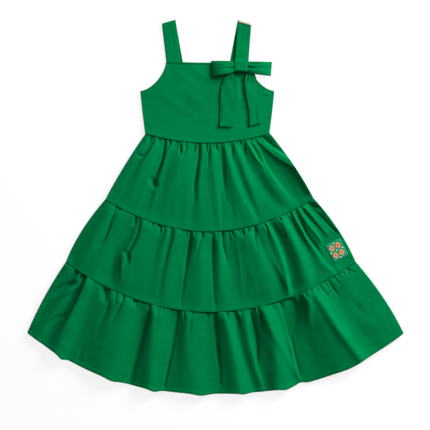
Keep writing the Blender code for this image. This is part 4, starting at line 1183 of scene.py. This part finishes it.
# Patch
# A small woven label sewn flat near the side seam. Its design is four orange lozenges edged in deep teal,
# each with a smaller pink lozenge at its middle, on a teal ground, and pale dots between them.
PATCH_WIDTH = 34.0
PATCH_LENGTH = 40.0
PATCH_TURN = 28.5
PATCH_TOP = 8.9
PATCH_UNEVEN = 0.25
PATCH_EDGE_DROP = 0.4
PATCH_WALL = 0.8
PATCH_STITCH_INSET = 1.0
PATCH_TEAL = (0.016, 0.335, 0.190)
PATCH_TEAL_DEEP = (0.010, 0.235, 0.125)
PATCH_ORANGE = (0.86, 0.36, 0.10)
PATCH_PINK = (0.56, 0.035, 0.14)
PATCH_PALE = (0.66, 0.62, 0.50)
PATCH_WEAVE = 0.0011
LOZENGE_X = 0.0072
LOZENGE_Y = 0.0085
LOZENGE_HALF_WIDTH = 0.0064
LOZENGE_HALF_LENGTH = 0.0076
SIDE_DOT_X = 0.0128
END_DOT_Y = 0.0160
DOT_RADIUS = 0.0019
LOZENGE_SOFTNESS = 0.08
DOT_SOFTNESS = 0.0005


def make_patch_cloth():
    """The lozenges, drawn from the patch's own map, which is centred and in metres."""
    material, tree, shader = new_material("patch_cloth", roughness=0.7, specular=0.15)
    cloth_map = add_node(tree, "ShaderNodeUVMap", {"uv_map": "cloth"}).outputs["UV"]
    x, y = add_node(tree, "ShaderNodeSeparateXYZ", Vector=cloth_map).outputs[:2]

    def maths(operation, *values):
        return arithmetic(tree, operation, *values)

    def away(from_x, from_y):
        squares = maths("MULTIPLY", from_x, from_x), maths("MULTIPLY", from_y, from_y)
        return maths("SQRT", maths("ADD", *squares))

    def share_of(place, middle, half):
        return maths("DIVIDE", maths("ABSOLUTE", maths("SUBTRACT", place, middle)), half)

    right, up = maths("ABSOLUTE", x), maths("ABSOLUTE", y)
    lozenge = maths(
        "ADD", share_of(right, LOZENGE_X, LOZENGE_HALF_WIDTH), share_of(up, LOZENGE_Y, LOZENGE_HALF_LENGTH),
    )
    side_dot = away(maths("SUBTRACT", right, SIDE_DOT_X), y)
    end_dot = away(x, maths("SUBTRACT", up, END_DOT_Y))
    dot = maths("MINIMUM", away(x, y), maths("MINIMUM", side_dot, end_dot))
    uneven = add_node(tree, "ShaderNodeTexNoise", Vector=cloth_map, Scale=900.0, Detail=2.0).outputs["Fac"]
    paint = shades(tree, uneven, (0.35, PATCH_TEAL_DEEP), (0.6, PATCH_TEAL))
    for shade, edge, distance, softness in (
        (PATCH_TEAL_DEEP, 1.25, lozenge, LOZENGE_SOFTNESS),
        (PATCH_ORANGE, 1.0, lozenge, LOZENGE_SOFTNESS),
        (PATCH_PINK, 0.45, lozenge, LOZENGE_SOFTNESS),
        (PATCH_PALE, DOT_RADIUS, dot, DOT_SOFTNESS),
    ):
        inside = maths("DIVIDE", maths("SUBTRACT", edge, distance), softness)
        mask = add_node(tree, "ShaderNodeClamp", Value=inside).outputs[0]
        mix = add_node(tree, "ShaderNodeMix", {"data_type": "RGBA"}, i0=mask, i6=paint, i7=(*shade, 1.0))
        paint = mix.outputs[2]
    tree.links.new(paint, shader.inputs["Base Color"])
    warp = maths("SINE", maths("MULTIPLY", x, math.tau / PATCH_WEAVE))
    weft = maths("SINE", maths("MULTIPLY", y, math.tau / PATCH_WEAVE))
    raise_grain(tree, shader, maths("MULTIPLY", warp, weft))
    return material


def patch_surface(across, along):
    """Points of the patch at millimetres from its middle."""
    turn = math.radians(PATCH_TURN)
    x = PATCH_PLACE[0] + across * math.cos(turn) - along * math.sin(turn)
    y = PATCH_PLACE[1] + across * math.sin(turn) + along * math.cos(turn)
    edge = np.minimum(0.5 * PATCH_WIDTH - np.abs(across), 0.5 * PATCH_LENGTH - np.abs(along))
    uneven = PATCH_UNEVEN * wandering(4, across / 40.0 + 0.5, along / 48.0 + 0.5, 3, 3)
    return np.stack([x, y, PATCH_TOP + uneven - PATCH_EDGE_DROP * np.exp(-edge / 0.6)], axis=-1)


def patch():
    """The label, with its own thread round its edge."""
    across, along = np.meshgrid(
        np.linspace(-0.5, 0.5, 41) * PATCH_WIDTH, np.linspace(0.5, -0.5, 49) * PATCH_LENGTH,
    )
    cloth_map = np.stack([across, along], axis=-1)
    piece = cloth_grid("patch_cloth", patch_surface(across, along), cloth_map, make_patch_cloth(), PATCH_WALL)
    half_x, half_y = 0.5 * PATCH_WIDTH - PATCH_STITCH_INSET, 0.5 * PATCH_LENGTH - PATCH_STITCH_INSET
    corners = [(-half_x, half_y), (half_x, half_y), (half_x, -half_y), (-half_x, -half_y), (-half_x, half_y)]
    part = np.linspace(0.0, 1.0, 12)
    sides = []
    for (start_x, start_y), (end_x, end_y) in zip(corners, corners[1:]):
        sides.append(patch_surface(start_x + (end_x - start_x) * part, start_y + (end_y - start_y) * part))
    stitches = stitch_rows("patch_stitching", sides, teal_thread)
    for part in (piece, stitches):
        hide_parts("patch")
        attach(part, "root")


teal_thread = make_thread("teal_thread", (0.03, 0.36, 0.22))
patch()
